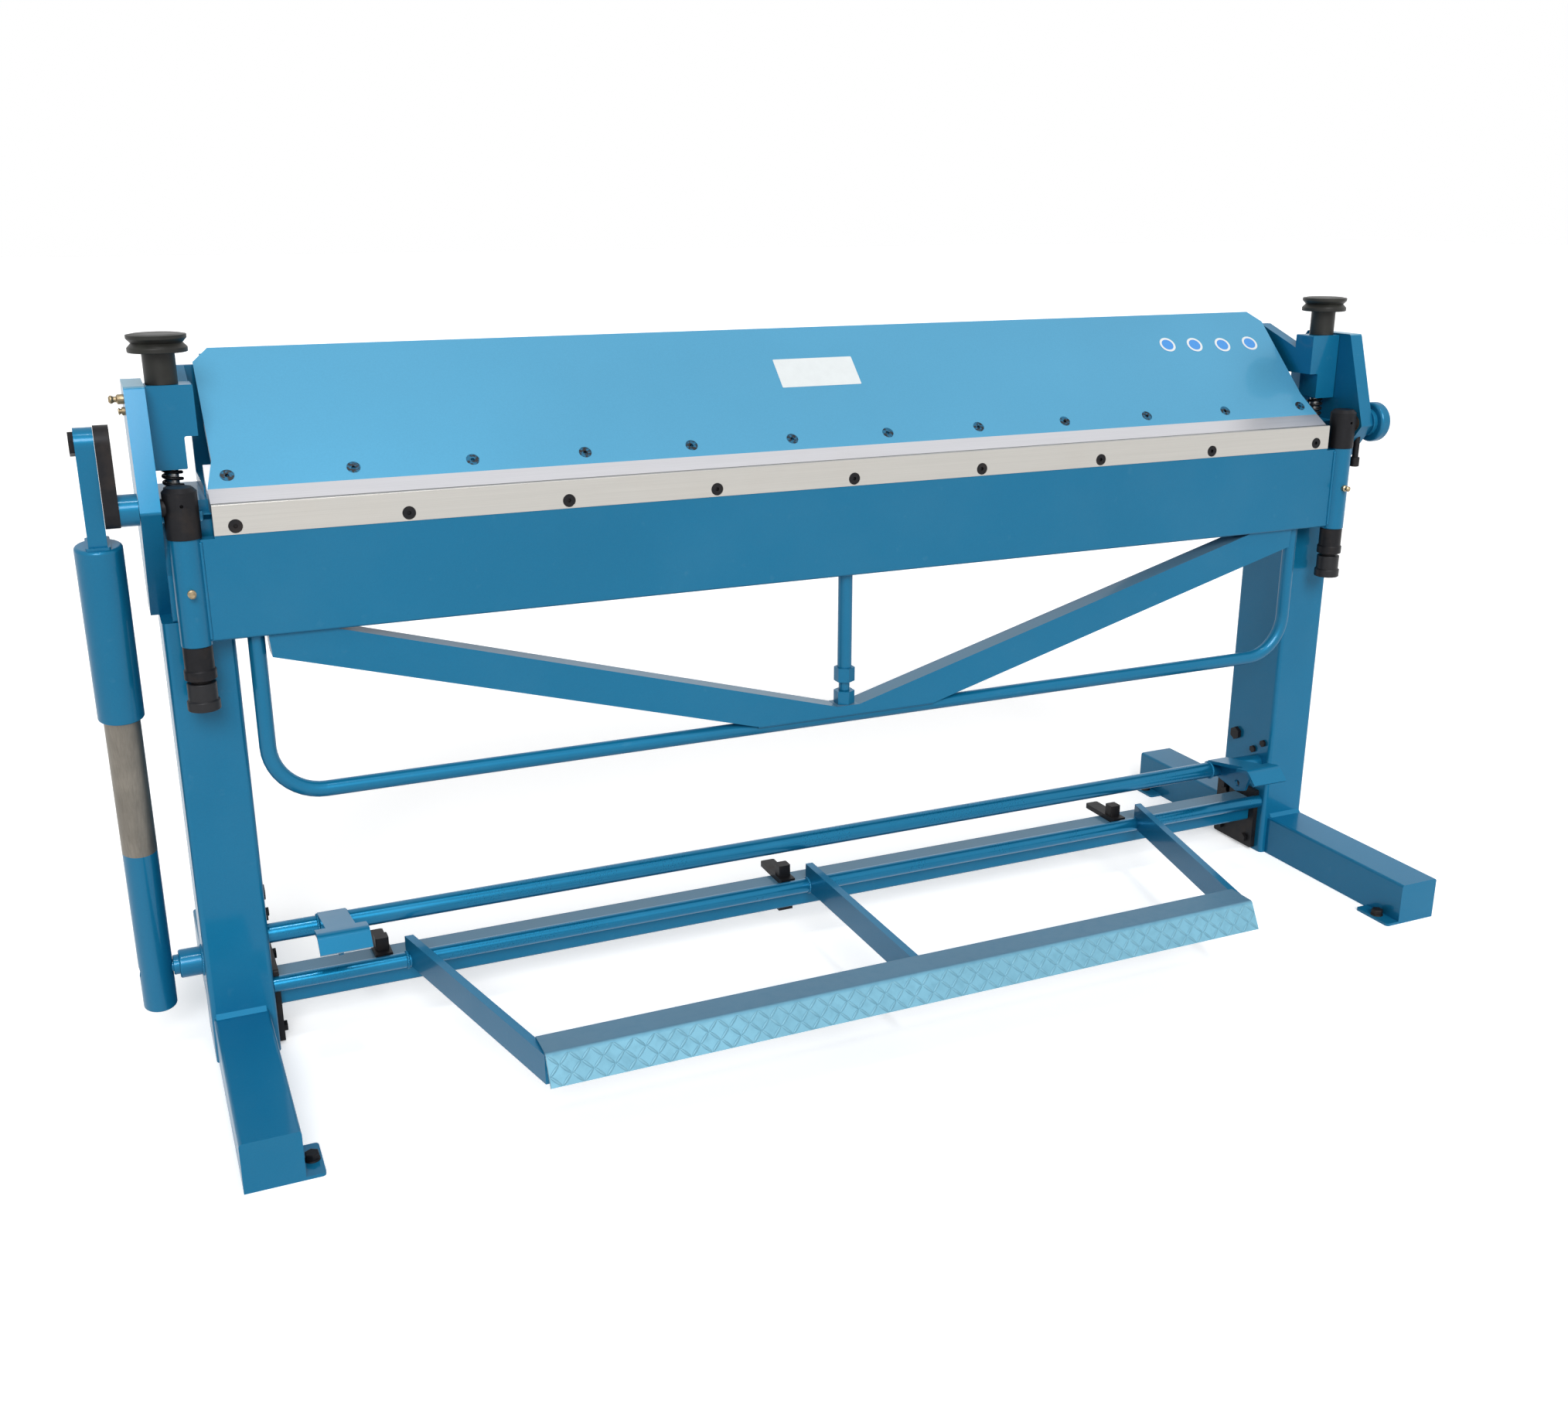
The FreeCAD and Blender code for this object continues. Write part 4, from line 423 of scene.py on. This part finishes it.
def paint(name, colour, wear=0.0, settled_and_sheen=0.0, cover_and_sheen=None, metal=PAINT_METAL, dull=PAINT_DULL):
    """Glossy blue paint: clouds, dusty patches, scuffs and light orange peel.

    Dust, and a painted sheen of the pale surroundings, lie in the cover colour on what looks up, as
    thickly as the settled share says.
    """
    f = Finish(name)
    tone, grain = clouded(f, colour)
    dust = f.ramp(f.noise(7, 6), 0.45, 0.80)
    scuff = f.ramp(f.noise(38, 5, stretch=(1, 2.5, 1)), 0.66, 0.78)
    tone = f.mix(0.06 * dust + wear * scuff, tone, SCUFFED)
    rough = dull + 0.10 * dust + 0.06 * grain + 0.15 * wear * scuff
    # Faces that look up take the cover colour: settled dust, and a painted sheen where they mirror
    # the pale surroundings
    if settled_and_sheen:
        lain_and_sheen = f.upward() * (settled_and_sheen + 0.15 * dust)
        tone = f.mix(lain_and_sheen, tone, cover_and_sheen)
        rough = rough + 0.25 * lain_and_sheen
    normal = f.bump(f.noise(160, 2) + 0.25 * grain, 0.10, 0.0006)
    return f.surface(base_color=tone, roughness=rough, metallic=metal, normal=normal,
                     specular_ior_level=0.05, **COAT)


def ground_steel(name, colour):
    """Ground steel with fine marks along the length and faint stains."""
    f = Finish(name)
    marks = f.noise(1, 4, stretch=(6, 900, 900))
    stain = f.ramp(f.noise(5, 5), 0.50, 0.75)
    tone = f.shaded(colour, 0.90 + 0.18 * marks)
    tone = f.mix(0.16 * stain, tone, STAINED)
    rough = 0.30 + 0.14 * marks + 0.10 * stain
    return f.surface(base_color=tone, roughness=rough, metallic=0.85,
                     normal=f.bump(marks, 0.12, 0.0003))


def black_steel(name, colour, gloss=0.40):
    """Blackened steel with brown patches and a dull bloom."""
    f = Finish(name)
    patch = f.ramp(f.noise(26, 5), 0.50, 0.72)
    bloom = f.noise(120, 4)
    tone = f.shaded(colour, 0.75 + 0.55 * bloom)
    tone = f.mix(0.35 * patch, tone, RUSTY)
    rough = gloss + 0.14 * bloom + 0.10 * patch
    return f.surface(base_color=tone, roughness=rough, metallic=0.55,
                     normal=f.bump(bloom, 0.14, 0.0004), specular_ior_level=0.3)


def knob_black():
    """Turned black knob with fine lathe rings and dust on it."""
    f = Finish("knob_black")
    dust = f.ramp(f.noise(30, 5), 0.48, 0.75)
    rings = f.noise(1, 3, stretch=(2, 2, 1400))
    tone = f.mix(0.22 * dust, colours().knob, KNOB_DUST)
    return f.surface(base_color=tone, roughness=0.38 + 0.12 * dust + 0.08 * rings,
                     normal=f.bump(rings, 0.12, 0.0003), specular_ior_level=0.3)


def oiled_steel():
    """Bare machined steel with a thin film of oil."""
    f = Finish("oiled_steel")
    marks = f.noise(1, 4, stretch=(700, 90, 90))
    film = f.ramp(f.noise(18, 4), 0.40, 0.70)
    tone = f.shaded(colours().bare, 0.80 + 0.30 * marks)
    tone = f.mix(0.30 * film, tone, OILY)
    return f.surface(base_color=tone, roughness=0.26 + 0.16 * marks, metallic=0.9,
                     normal=f.bump(marks, 0.10, 0.0003))


def brass():
    """Brass with tarnish in patches."""
    f = Finish("brass")
    tarnish = f.ramp(f.noise(90, 4), 0.42, 0.70)
    tone = f.mix(0.70 * tarnish, colours().brass, TARNISHED)
    return f.surface(base_color=tone, roughness=0.36 + 0.20 * tarnish, metallic=0.90,
                     normal=f.bump(tarnish, 0.08, 0.0002))


def strut_finish():
    """Strut tube: bare drawn steel above, blue paint below a straight edge."""
    f = Finish("strut_tube")
    axis = (STRUT_EYE - STRUT_FOOT).normalized()
    along = f.node("VectorMath", {"operation": "DOT_PRODUCT"}, {0: f.place, 1: axis}, "Value")
    painted = along < STRUT_FOOT.dot(axis) + STRUT_PAINT_TOP
    streaks = f.noise(1, 4, stretch=(500, 500, 7), turn=(math.atan2(axis.y, axis.z), 0, 0))
    smear = f.ramp(f.noise(16, 5), 0.42, 0.72)
    bare = f.shaded(colours().tube, 0.70 + 0.55 * streaks)
    bare = f.mix(0.40 * smear, bare, SMEARED)
    tone = f.mix(painted, bare, clouded(f, colours().blue)[0])
    rough = 0.36 + 0.14 * streaks - 0.06 * painted
    return f.surface(base_color=tone, roughness=rough, metallic=0.75 - 0.45 * painted,
                     normal=f.bump(streaks * (1 - painted), 0.14, 0.0003),
                     specular_ior_level=0.15, coat_weight=COAT["coat_weight"] * painted,
                     coat_roughness=COAT["coat_roughness"])


def lock_nut_finish():
    """Black lock nuts at the ends, the painted one in the middle of the machine."""
    f = Finish("lock_nuts")
    across = f.node("SeparateXYZ", None, {0: f.place}, "X")
    middle = (across < MIDDLE_HALF) * (across > -MIDDLE_HALF)
    bloom = f.noise(120, 4)
    tone = f.mix(middle, f.shaded(colours().black, 0.75 + 0.55 * bloom),
                 f.shaded(colours().blue, 0.80 + 0.25 * bloom))
    return f.surface(base_color=tone, roughness=0.40 + 0.12 * bloom, metallic=0.45,
                     normal=f.bump(bloom, 0.14, 0.0004))


def screw_finish():
    """Screw heads in the sloping plate, blackened steel with blue in patches."""
    f = Finish("blue_patched_screws")
    blue_patches = f.ramp(f.noise(190, 4), 0.46, 0.58)
    # Blue in patches on the black heads
    tone = f.mix(0.75 * blue_patches, colours().black, colours().blue)
    return f.surface(base_color=tone, roughness=0.34 + 0.12 * blue_patches, metallic=0.4,
                     normal=f.bump(blue_patches, 0.10, 0.0003))


def tread_finish():
    """Tread: its front fold in a lighter copy of the paint, painted light where the fold faces the
    lamp, with grime between the bars.
    """
    f = Finish("tread_paint")
    depth = f.node("SeparateXYZ", None, {0: f.place}, "Y")
    fold = f.ramp(depth, TREAD_TOP_END, TREAD_FRONT_START)
    grime = f.ramp(f.noise(52, 6), 0.45, 0.72)
    cloud = f.noise(9, 5)
    # The top greys where it looks up: dust and a painted sheen
    top = f.mix(0.42 * f.upward(), f.shaded(colours().blue, 0.90 + 0.20 * cloud), colours().dust)
    # The front fold's lighter colour is painted light: the fold faces the lamp
    front = f.shaded(colours().blue_tread, 0.85 + 0.30 * cloud)
    front = f.mix(0.30 * grime, front, GRIMY)
    tone = f.mix(fold, top, front)
    normal = f.bump(f.noise(260, 3), 0.12, 0.0005)
    return f.surface(base_color=tone, roughness=0.42 + 0.12 * grime, metallic=0.2, normal=normal,
                     specular_ior_level=0.2, coat_weight=0.1, coat_roughness=0.2)


def bar_finish():
    """Raised tread bars, a little brighter where soles have rubbed them."""
    f = Finish("tread_bars")
    rubbed = f.ramp(f.noise(70, 5), 0.40, 0.70)
    # The bars take the front fold's lighter colour, which is painted light, made a little darker
    tone = f.mix(0.4 * rubbed, f.shaded(colours().blue_tread, 0.82), SOLE_RUBBED)
    return f.surface(base_color=tone, roughness=0.40 + 0.10 * rubbed, metallic=0.2,
                     normal=f.bump(rubbed, 0.06, 0.0003), specular_ior_level=0.2)


def paper():
    """Blank label paper with faint mottling."""
    f = Finish("label_paper")
    mottle = f.noise(60, 5)
    tone = f.shaded(colours().label, 0.93 + 0.12 * mottle)
    return f.surface(base_color=tone, roughness=0.45 + 0.15 * mottle,
                     normal=f.bump(mottle, 0.05, 0.0002))


def disc_blue():
    """Printed blue of the round discs."""
    f = Finish("disc_blue")
    mottle = f.noise(300, 3)
    tone = f.shaded(colours().disc, 0.9 + 0.2 * mottle)
    return f.surface(base_color=tone, roughness=0.30 + 0.1 * mottle,
                     normal=f.bump(mottle, 0.04, 0.0001))


def wear_finish(nodes, material):
    """Give a material to every slot of the named frame nodes."""
    for name in nodes:
        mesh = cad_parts[name].data
        if not mesh.materials:
            mesh.materials.append(material)
        for index in range(len(mesh.materials)):
            mesh.materials[index] = material


def add_piece(bm, name, body, *materials, smooth=True):
    """Close a bmesh into an object that rides on a body of the frame."""
    bmesh.ops.recalc_face_normals(bm, faces=bm.faces)
    for face in bm.faces:
        face.smooth = smooth
    mesh = bpy.data.meshes.new(name)
    bm.to_mesh(mesh)
    bm.free()
    for material in materials:
        mesh.materials.append(material)
    piece = bpy.data.objects.new(name, mesh)
    bpy.context.scene.collection.objects.link(piece)
    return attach(piece, body)


def axes(right, up, out, at):
    """Placing matrix from three directions and a point."""
    turn = Matrix((right, up, out)).transposed()
    return Matrix.Translation(at) @ turn.to_4x4()


def slope_axes():
    """Directions along, up and out of the sloping plate."""
    along = Vector((1, 0, 0))
    up = (SLOPE_HIGH - SLOPE_LOW).normalized()
    return along, up, along.cross(up)


def on_slope(pixel):
    """Point of the sloping plate that the photograph shows at a pixel."""
    turn = Euler((math.radians(90 + CAMERA_PITCH), 0, math.radians(CAMERA_YAW))).to_matrix()
    ray = turn @ Vector(((pixel[0] - PHOTO_WIDTH / 2) / FOCAL_PIXELS,
                         (PHOTO_HEIGHT / 2 - pixel[1]) / FOCAL_PIXELS, -1))
    out = slope_axes()[2]
    return CAMERA_AT + ray * ((SLOPE_LOW - CAMERA_AT).dot(out) / ray.dot(out))


def bead(bm, stations, radius, ripple=BEAD_RIPPLE):
    """Rippled weld bead through the stations, closed at both ends."""
    before = None
    for index, station in enumerate(stations):
        ends = index in (0, len(stations) - 1)
        swell = 1 + ripple * math.sin(index * math.pi / 2) - (BEAD_TAPER if ends else 0)
        ring = bmesh.ops.create_circle(bm, cap_ends=ends, segments=BEAD_SIDES,
                                       radius=radius * swell, matrix=station)["verts"]
        edges = list({edge for vert in ring for edge in vert.link_edges})
        if before:
            bmesh.ops.bridge_loops(bm, edges=before + edges)
        before = edges


def ring_bead(bm, centre, axis, radius):
    """Weld bead all the way round a bar."""
    side = axis.orthogonal().normalized()
    steps = max(FEWEST_STATIONS,
                int(STATIONS_PER_RIPPLE * 2 * math.pi * radius / sizes().ripple_pitch))
    stations = []
    for step in range(steps):
        out = Matrix.Rotation(2 * math.pi * step / steps, 3, axis) @ side
        stations.append(axes(out, axis, out.cross(axis), centre + out * radius))
    bead(bm, stations, sizes().bead_radius)


def line_bead(bm, start, end, swell=1.0, ripple=BEAD_RIPPLE):
    """Straight weld bead."""
    run = end - start
    forward = run.normalized()
    side = forward.orthogonal().normalized()
    steps = int(STATIONS_PER_RIPPLE * run.length / sizes().ripple_pitch)
    bead(bm, [axes(side, forward.cross(side), forward, start + run * step / steps)
              for step in range(steps + 1)], sizes().bead_radius * swell, ripple)


class FOLDER_OT_paintwork(Operator):
    """Paint the frame, the beams, the sloping plate and the tread"""

    bl_idname = "folder.paintwork"
    bl_label = "Paintwork"

    def execute(self, context):
        wear_finish(PAINTED, paint("blue_paint", colours().blue, 0.10))
        wear_finish(SHAFTS, paint("blue_shaft", colours().blue, 0.10, metal=0.60, dull=0.25))
        # Dust and a painted sheen on the tops of the crossbar and brace
        wear_finish(DUSTY_AND_SHEENED, paint("blue_dust_and_sheen", colours().blue, 0.10, 0.42, colours().dust))
        # Side plates: tops paled by rubbing and by a painted sheen
        wear_finish(PLATES, paint("blue_plates_rubbed_and_sheen", colours().blue, 0.10, 0.75, colours().rubbed))
        # The sloping plate in a lighter copy of the blue: painted light
        wear_finish(["clamp_plate"], paint("blue_slope_painted_light", colours().blue_slope_painted_light, 0.02))
        wear_finish(["pedal_tread"], tread_finish())
        return {"FINISHED"}


class FOLDER_OT_metalwork(Operator):
    """Finish the ground, blackened, bare and brass pieces"""

    bl_idname = "folder.metalwork"
    bl_label = "Metalwork"

    def execute(self, context):
        wear_finish(["folding_blade", "bed_bar"], ground_steel("ground_blade", colours().ground))
        wear_finish(["nose_bar"], ground_steel("planed_nose", colours().planed))
        wear_finish(BLACK, black_steel("black_steel", colours().black))
        wear_finish(BARE, oiled_steel())
        wear_finish(BRASS, brass())
        wear_finish(KNOBS, knob_black())
        wear_finish(["strut_tube"], strut_finish())
        wear_finish(["lock_nuts"], lock_nut_finish())
        wear_finish(["nose_bolts"], screw_finish())
        return {"FINISHED"}


class FOLDER_OT_anchor_bolts(Operator):
    """Hexagon bolt and washer on each floor tab"""

    bl_idname = "folder.anchor_bolts"
    bl_label = "Anchor bolts"

    def execute(self, context):
        size = sizes()
        bm = bmesh.new()
        across = size.bolt_flats / math.sqrt(3)
        for x in (-ANCHOR_X, ANCHOR_X):
            for y in (-ANCHOR_Y, ANCHOR_Y):
                at = Matrix.Translation((x, y, TAB_THICK + WASHER_THICK / 2))
                bmesh.ops.create_cone(bm, cap_ends=True, segments=24,
                                      radius1=size.bolt_flats * WASHER_FOOT,
                                      radius2=size.bolt_flats * WASHER_TOP,
                                      depth=WASHER_THICK, matrix=at)
                at = Matrix.Translation((x, y, TAB_THICK + WASHER_THICK + size.bolt_height / 2))
                head = bmesh.ops.create_cone(bm, cap_ends=True, segments=6, radius1=across,
                                             radius2=across, depth=size.bolt_height, matrix=at)
                top = max(vert.co.z for vert in head["verts"])
                rim = {edge for vert in head["verts"] for edge in vert.link_edges
                       if all(abs(end.co.z - top) < 1e-6 for end in edge.verts)}
                bmesh.ops.bevel(bm, geom=list(rim), offset=BOLT_CHAMFER, segments=2,
                                profile=0.5, affect="EDGES", material=-1)
        bolts = black_steel("anchor_steel", colours().black, 0.46)
        add_piece(bm, "anchor_bolts", "stand", bolts, smooth=False)
        return {"FINISHED"}


class FOLDER_OT_tread_bars(Operator):
    """Raised bars in alternating slants on the front fold of the tread"""

    bl_idname = "folder.tread_bars"
    bl_label = "Tread bars"

    def execute(self, context):
        size = sizes()
        along = Vector((1, 0, 0))
        down = (TREAD_LIP - TREAD_BEND).normalized()
        out = down.cross(along)
        low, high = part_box("pedal_tread")
        fold = (TREAD_LIP - TREAD_BEND).length
        columns = int((high.x - low.x) / size.bar_pitch)
        first = (low.x + high.x) / 2 - (columns - 1) * size.bar_pitch / 2
        bm = bmesh.new()
        for row in range(BAR_ROWS):
            drop = BAR_FIRST_DROP + row * (fold - BAR_SPARE) / (BAR_ROWS - 1)
            for column in range(columns):
                across = first + column * size.bar_pitch
                at = Vector((across, TREAD_BEND.y, TREAD_BEND.z)) + down * drop
                slant = math.radians(BAR_SLANT if (row + column) % 2 else -BAR_SLANT)
                place = axes(along, -down, out, at - out * SINK) @ Matrix.Rotation(slant, 4, "Z")
                scale = Matrix.Diagonal((size.bar_length / 2, size.bar_width / 2,
                                         size.bar_height + SINK, 1))
                bmesh.ops.create_uvsphere(bm, u_segments=10, v_segments=6, radius=1,
                                          matrix=place @ scale)
        add_piece(bm, "tread_bars", "pedal", bar_finish())
        return {"FINISHED"}


class FOLDER_OT_label(Operator):
    """Blank paper label on the sloping plate"""

    bl_idname = "folder.label"
    bl_label = "Blank label"

    def execute(self, context):
        size = sizes()
        along, up, out = slope_axes()
        place = axes(along, up, out, on_slope(LABEL_PIXEL) + out * size.label_thickness / 2)
        scale = Matrix.Diagonal((size.label_width, size.label_height, size.label_thickness, 1))
        bm = bmesh.new()
        bmesh.ops.create_cube(bm, size=1, matrix=place @ scale)
        upright = [edge for edge in bm.edges
                   if abs((edge.verts[0].co - edge.verts[1].co).dot(out))
                   > size.label_thickness / 2]
        bmesh.ops.bevel(bm, geom=upright, offset=LABEL_CORNER, segments=3, profile=0.5,
                        affect="EDGES", material=-1)
        add_piece(bm, "blank_label", "clamping_beam", paper(), smooth=False)
        return {"FINISHED"}


class FOLDER_OT_discs(Operator):
    """Four plain round discs at the right end of the sloping plate"""

    bl_idname = "folder.discs"
    bl_label = "Plain discs"

    def execute(self, context):
        size = sizes()
        along, up, out = slope_axes()
        bm = bmesh.new()
        for pixel in DISC_PIXELS:
            place = axes(along, up, out, on_slope(pixel) + out * size.label_thickness / 2)
            made = bmesh.ops.create_cone(bm, cap_ends=True, segments=size.ring_steps,
                                         radius1=size.disc_radius, radius2=size.disc_radius,
                                         depth=size.label_thickness, matrix=place)
            faces = {face for vert in made["verts"] for face in vert.link_faces}
            front = max(faces, key=lambda face: face.calc_center_median().dot(out))
            rim = bmesh.ops.inset_region(bm, faces=[front], thickness=size.disc_rim)["faces"]
            for face in rim:
                face.material_index = 1
        add_piece(bm, "plain_discs", "clamping_beam", disc_blue(),
                  bpy.data.materials["label_paper"], smooth=False)
        return {"FINISHED"}


class FOLDER_OT_stud_thread(Operator):
    """Thread ridges on the bare part of the truss stud"""

    bl_idname = "folder.stud_thread"
    bl_label = "Stud thread"

    def execute(self, context):
        size = sizes()
        turns = int((STUD_HIGH - STUD_LOW) / size.thread_pitch)
        pitch = (STUD_HIGH - STUD_LOW) / turns
        outline = [(STUD_RADIUS - SINK, STUD_LOW)]
        for turn in range(turns):
            outline += [(STUD_RADIUS + THREAD_ROOT, STUD_LOW + turn * pitch),
                        (STUD_RADIUS + THREAD_CREST, STUD_LOW + (turn + 0.5) * pitch)]
        outline += [(STUD_RADIUS + THREAD_ROOT, STUD_HIGH), (STUD_RADIUS - SINK, STUD_HIGH)]
        bm = bmesh.new()
        verts = [bm.verts.new((radius, HANDLE_Y, z)) for radius, z in outline]
        edges = [bm.edges.new(pair) for pair in zip(verts, verts[1:] + verts[:1])]
        bmesh.ops.spin(bm, geom=verts + edges, cent=(0, HANDLE_Y, 0), axis=(0, 0, 1),
                       angle=2 * math.pi, steps=size.ring_steps, use_merge=True)
        bmesh.ops.remove_doubles(bm, verts=bm.verts, dist=1e-6)
        add_piece(bm, "stud_thread", "folding_beam", bpy.data.materials["blue_paint"])
        return {"FINISHED"}


class FOLDER_OT_weld_beads(Operator):
    """Painted weld beads where bars and tubes are joined"""

    bl_idname = "folder.weld_beads"
    bl_label = "Weld beads"

    def execute(self, context):
        x_axis = Vector((1, 0, 0))
        z_axis = Vector((0, 0, 1))
        blue = bpy.data.materials["blue_paint"]

        bm = bmesh.new()
        ring_bead(bm, Vector((BOSS_X, STRUT_FOOT.y, STRUT_FOOT.z)), x_axis, BOSS_RADIUS)
        for side in (-1, 1):
            for y in (LEG_FRONT, LEG_REAR):
                line_bead(bm, Vector((side * FOOT_IN, y, FOOT_TOP)),
                          Vector((side * FOOT_OUT, y, FOOT_TOP)), **FOOT_BEAD)
        add_piece(bm, "stand_welds", "stand", blue)

        bm = bmesh.new()
        for x in (-HANDLE_X, 0.0, HANDLE_X):
            ring_bead(bm, Vector((x, HANDLE_Y, APRON_LOW)), z_axis, HANDLE_RADIUS)
        seam = math.sqrt(BARREL_RADIUS ** 2 - (FOLD_Y - APRON_FRONT) ** 2)
        for side in (-1, 1):
            x = side * (BARREL_X - seam)
            line_bead(bm, Vector((x, APRON_FRONT, APRON_LOW + BARREL_SEAM_LOW)),
                      Vector((x, APRON_FRONT, BARREL_TOP - BARREL_SEAM_HIGH)), **BARREL_BEAD)
        for y in (HANDLE_Y - BRACE_SEAM, HANDLE_Y + BRACE_SEAM):
            line_bead(bm, Vector((-BRACE_FOOT, y, BRACE_LOW)), Vector((BRACE_FOOT, y, BRACE_LOW)))
        add_piece(bm, "folding_beam_welds", "folding_beam", blue)

        bm = bmesh.new()
        for side in (-1, 0, 1):
            x = PEDAL_MID + side * ARM_REAR_HALF
            for face in (-ARM_HALF, ARM_HALF):
                ring_bead(bm, PEDAL_SHAFT + x_axis * (x + face), x_axis, PEDAL_SHAFT_RADIUS)
        add_piece(bm, "pedal_welds", "pedal", blue)

        bm = bmesh.new()
        for side in (-1, 1):
            for face in (-RELEASE_NECK, RELEASE_NECK):
                ring_bead(bm, RELEASE_SHAFT + x_axis * (side * RELEASE_X + face), x_axis,
                          RELEASE_RADIUS)
        add_piece(bm, "release_welds", "release", blue)
        return {"FINISHED"}


class FOLDER_OT_studio(Operator):
    """Pale floor, soft lights and the camera of the photograph"""

    bl_idname = "folder.studio"
    bl_label = "Studio"

    def execute(self, context):
        scene = context.scene
        scene.view_settings.view_transform = "Standard"
        self.add_floor(scene)
        self.add_world(scene)
        for name, settings in LAMPS.items():
            self.add_lamp(scene, name, *settings)
        self.add_camera(scene)
        return {"FINISHED"}

    def seen(self, tree):
        """One for a ray that the eye, a mirror or clear glass sends out."""
        rays = tree.nodes.new("ShaderNodeLightPath")
        either = tree.nodes.new("ShaderNodeMath")
        any_ray = tree.nodes.new("ShaderNodeMath")
        either.operation = any_ray.operation = "MAXIMUM"
        tree.links.new(rays.outputs["Is Camera Ray"], either.inputs[0])
        tree.links.new(rays.outputs["Is Glossy Ray"], either.inputs[1])
        tree.links.new(either.outputs[0], any_ray.inputs[0])
        tree.links.new(rays.outputs["Is Transmission Ray"], any_ray.inputs[1])
        return any_ray.outputs[0]

    def add_floor(self, scene):
        """Pale floor that the eye sees lifted towards white."""
        bm = bmesh.new()
        bmesh.ops.create_grid(bm, x_segments=2, y_segments=2, size=FLOOR_HALF)
        mesh = bpy.data.meshes.new("floor")
        bm.to_mesh(mesh)
        bm.free()
        floor = bpy.data.objects.new("floor", mesh)
        scene.collection.objects.link(floor)
        f = Finish("floor")
        plain = f.node("BsdfDiffuse", None, {"Color": rgba(colours().floor)})
        dull = f.node("BsdfDiffuse", None, {"Color": FLOOR_DULL})
        glow = f.node("Emission", None, {"Color": WHITE, "Strength": FLOOR_GLOW})
        lifted = f.node("AddShader", None, {0: plain, 1: glow})
        f.close(f.node("MixShader", None, {0: Socket(f, self.seen(f.tree)), 1: dull, 2: lifted}))
        mesh.materials.append(f.material)

    def add_world(self, scene):
        """White behind the machine, and for light a soft sky that brightens upwards."""
        world = bpy.data.worlds.new("studio")
        scene.world = world
        world.use_nodes = True
        tree = world.node_tree
        tree.nodes.clear()
        place = tree.nodes.new("ShaderNodeTexCoord")
        parts = tree.nodes.new("ShaderNodeSeparateXYZ")
        climb = tree.nodes.new("ShaderNodeMapRange")
        light = tree.nodes.new("ShaderNodeBackground")
        white = tree.nodes.new("ShaderNodeBackground")
        mix = tree.nodes.new("ShaderNodeMixShader")
        output = tree.nodes.new("ShaderNodeOutputWorld")
        climb.inputs["To Min"].default_value = HORIZON_LIGHT
        climb.inputs["To Max"].default_value = ZENITH_LIGHT
        tree.links.new(place.outputs["Generated"], parts.inputs[0])
        tree.links.new(parts.outputs["Z"], climb.inputs["Value"])
        tree.links.new(climb.outputs[0], light.inputs["Strength"])
        tree.links.new(self.seen(tree), mix.inputs[0])
        tree.links.new(light.outputs[0], mix.inputs[1])
        tree.links.new(white.outputs[0], mix.inputs[2])
        tree.links.new(mix.outputs[0], output.inputs["Surface"])
        for background in (light, white):
            background.inputs["Color"].default_value = WHITE

    def add_lamp(self, scene, name, towards, energy, spread, shows):
        """Sun lamp with a soft edge, seen in reflections or not."""
        lamp = bpy.data.lights.new(name, "SUN")
        lamp.energy = energy
        lamp.angle = spread
        item = bpy.data.objects.new(name, lamp)
        item.rotation_euler = Vector(towards).to_track_quat("Z", "Y").to_euler()
        item.visible_glossy = shows
        scene.collection.objects.link(item)

    def add_camera(self, scene):
        """The camera that fits the photograph."""
        lens = bpy.data.cameras.new("camera")
        lens.sensor_width = SENSOR
        lens.lens = SENSOR * FOCAL_PIXELS / PHOTO_WIDTH
        lens.clip_end = SIGHT
        item = bpy.data.objects.new("camera", lens)
        item.location = CAMERA_AT
        item.rotation_euler = (math.radians(90 + CAMERA_PITCH), 0, math.radians(CAMERA_YAW))
        scene.collection.objects.link(item)
        scene.camera = item


STEPS = (FOLDER_OT_paintwork, FOLDER_OT_metalwork, FOLDER_OT_anchor_bolts, FOLDER_OT_tread_bars,
         FOLDER_OT_label, FOLDER_OT_discs, FOLDER_OT_stud_thread, FOLDER_OT_weld_beads,
         FOLDER_OT_studio)


class FOLDER_PT_looks(Panel):
    """Lists the steps that dress the machine"""

    bl_idname = "FOLDER_PT_looks"
    bl_label = "Folding machine"
    bl_space_type = "VIEW_3D"
    bl_region_type = "UI"
    bl_category = "Folder"

    def draw(self, context):
        for step in STEPS:
            self.layout.operator(step.bl_idname)
        for group in (context.scene.folder_sizes, context.scene.folder_colours):
            box = self.layout.box()
            for name in group.__annotations__:
                box.prop(group, name)


CLASSES = (FolderSizes, FolderColours) + STEPS + (FOLDER_PT_looks,)


def register():
    """Add the settings, the steps and the panel."""
    for item in CLASSES:
        bpy.utils.register_class(item)
    bpy.types.Scene.folder_sizes = PointerProperty(type=FolderSizes)
    bpy.types.Scene.folder_colours = PointerProperty(type=FolderColours)


def unregister():
    """Take away what register adds."""
    del bpy.types.Scene.folder_colours
    del bpy.types.Scene.folder_sizes
    for item in reversed(CLASSES):
        bpy.utils.unregister_class(item)


def main():
    """Dress the machine step by step."""
    register()
    for step in STEPS:
        group, name = step.bl_idname.split(".")
        getattr(getattr(bpy.ops, group), name)()


if __name__ == "__main__":
    main()
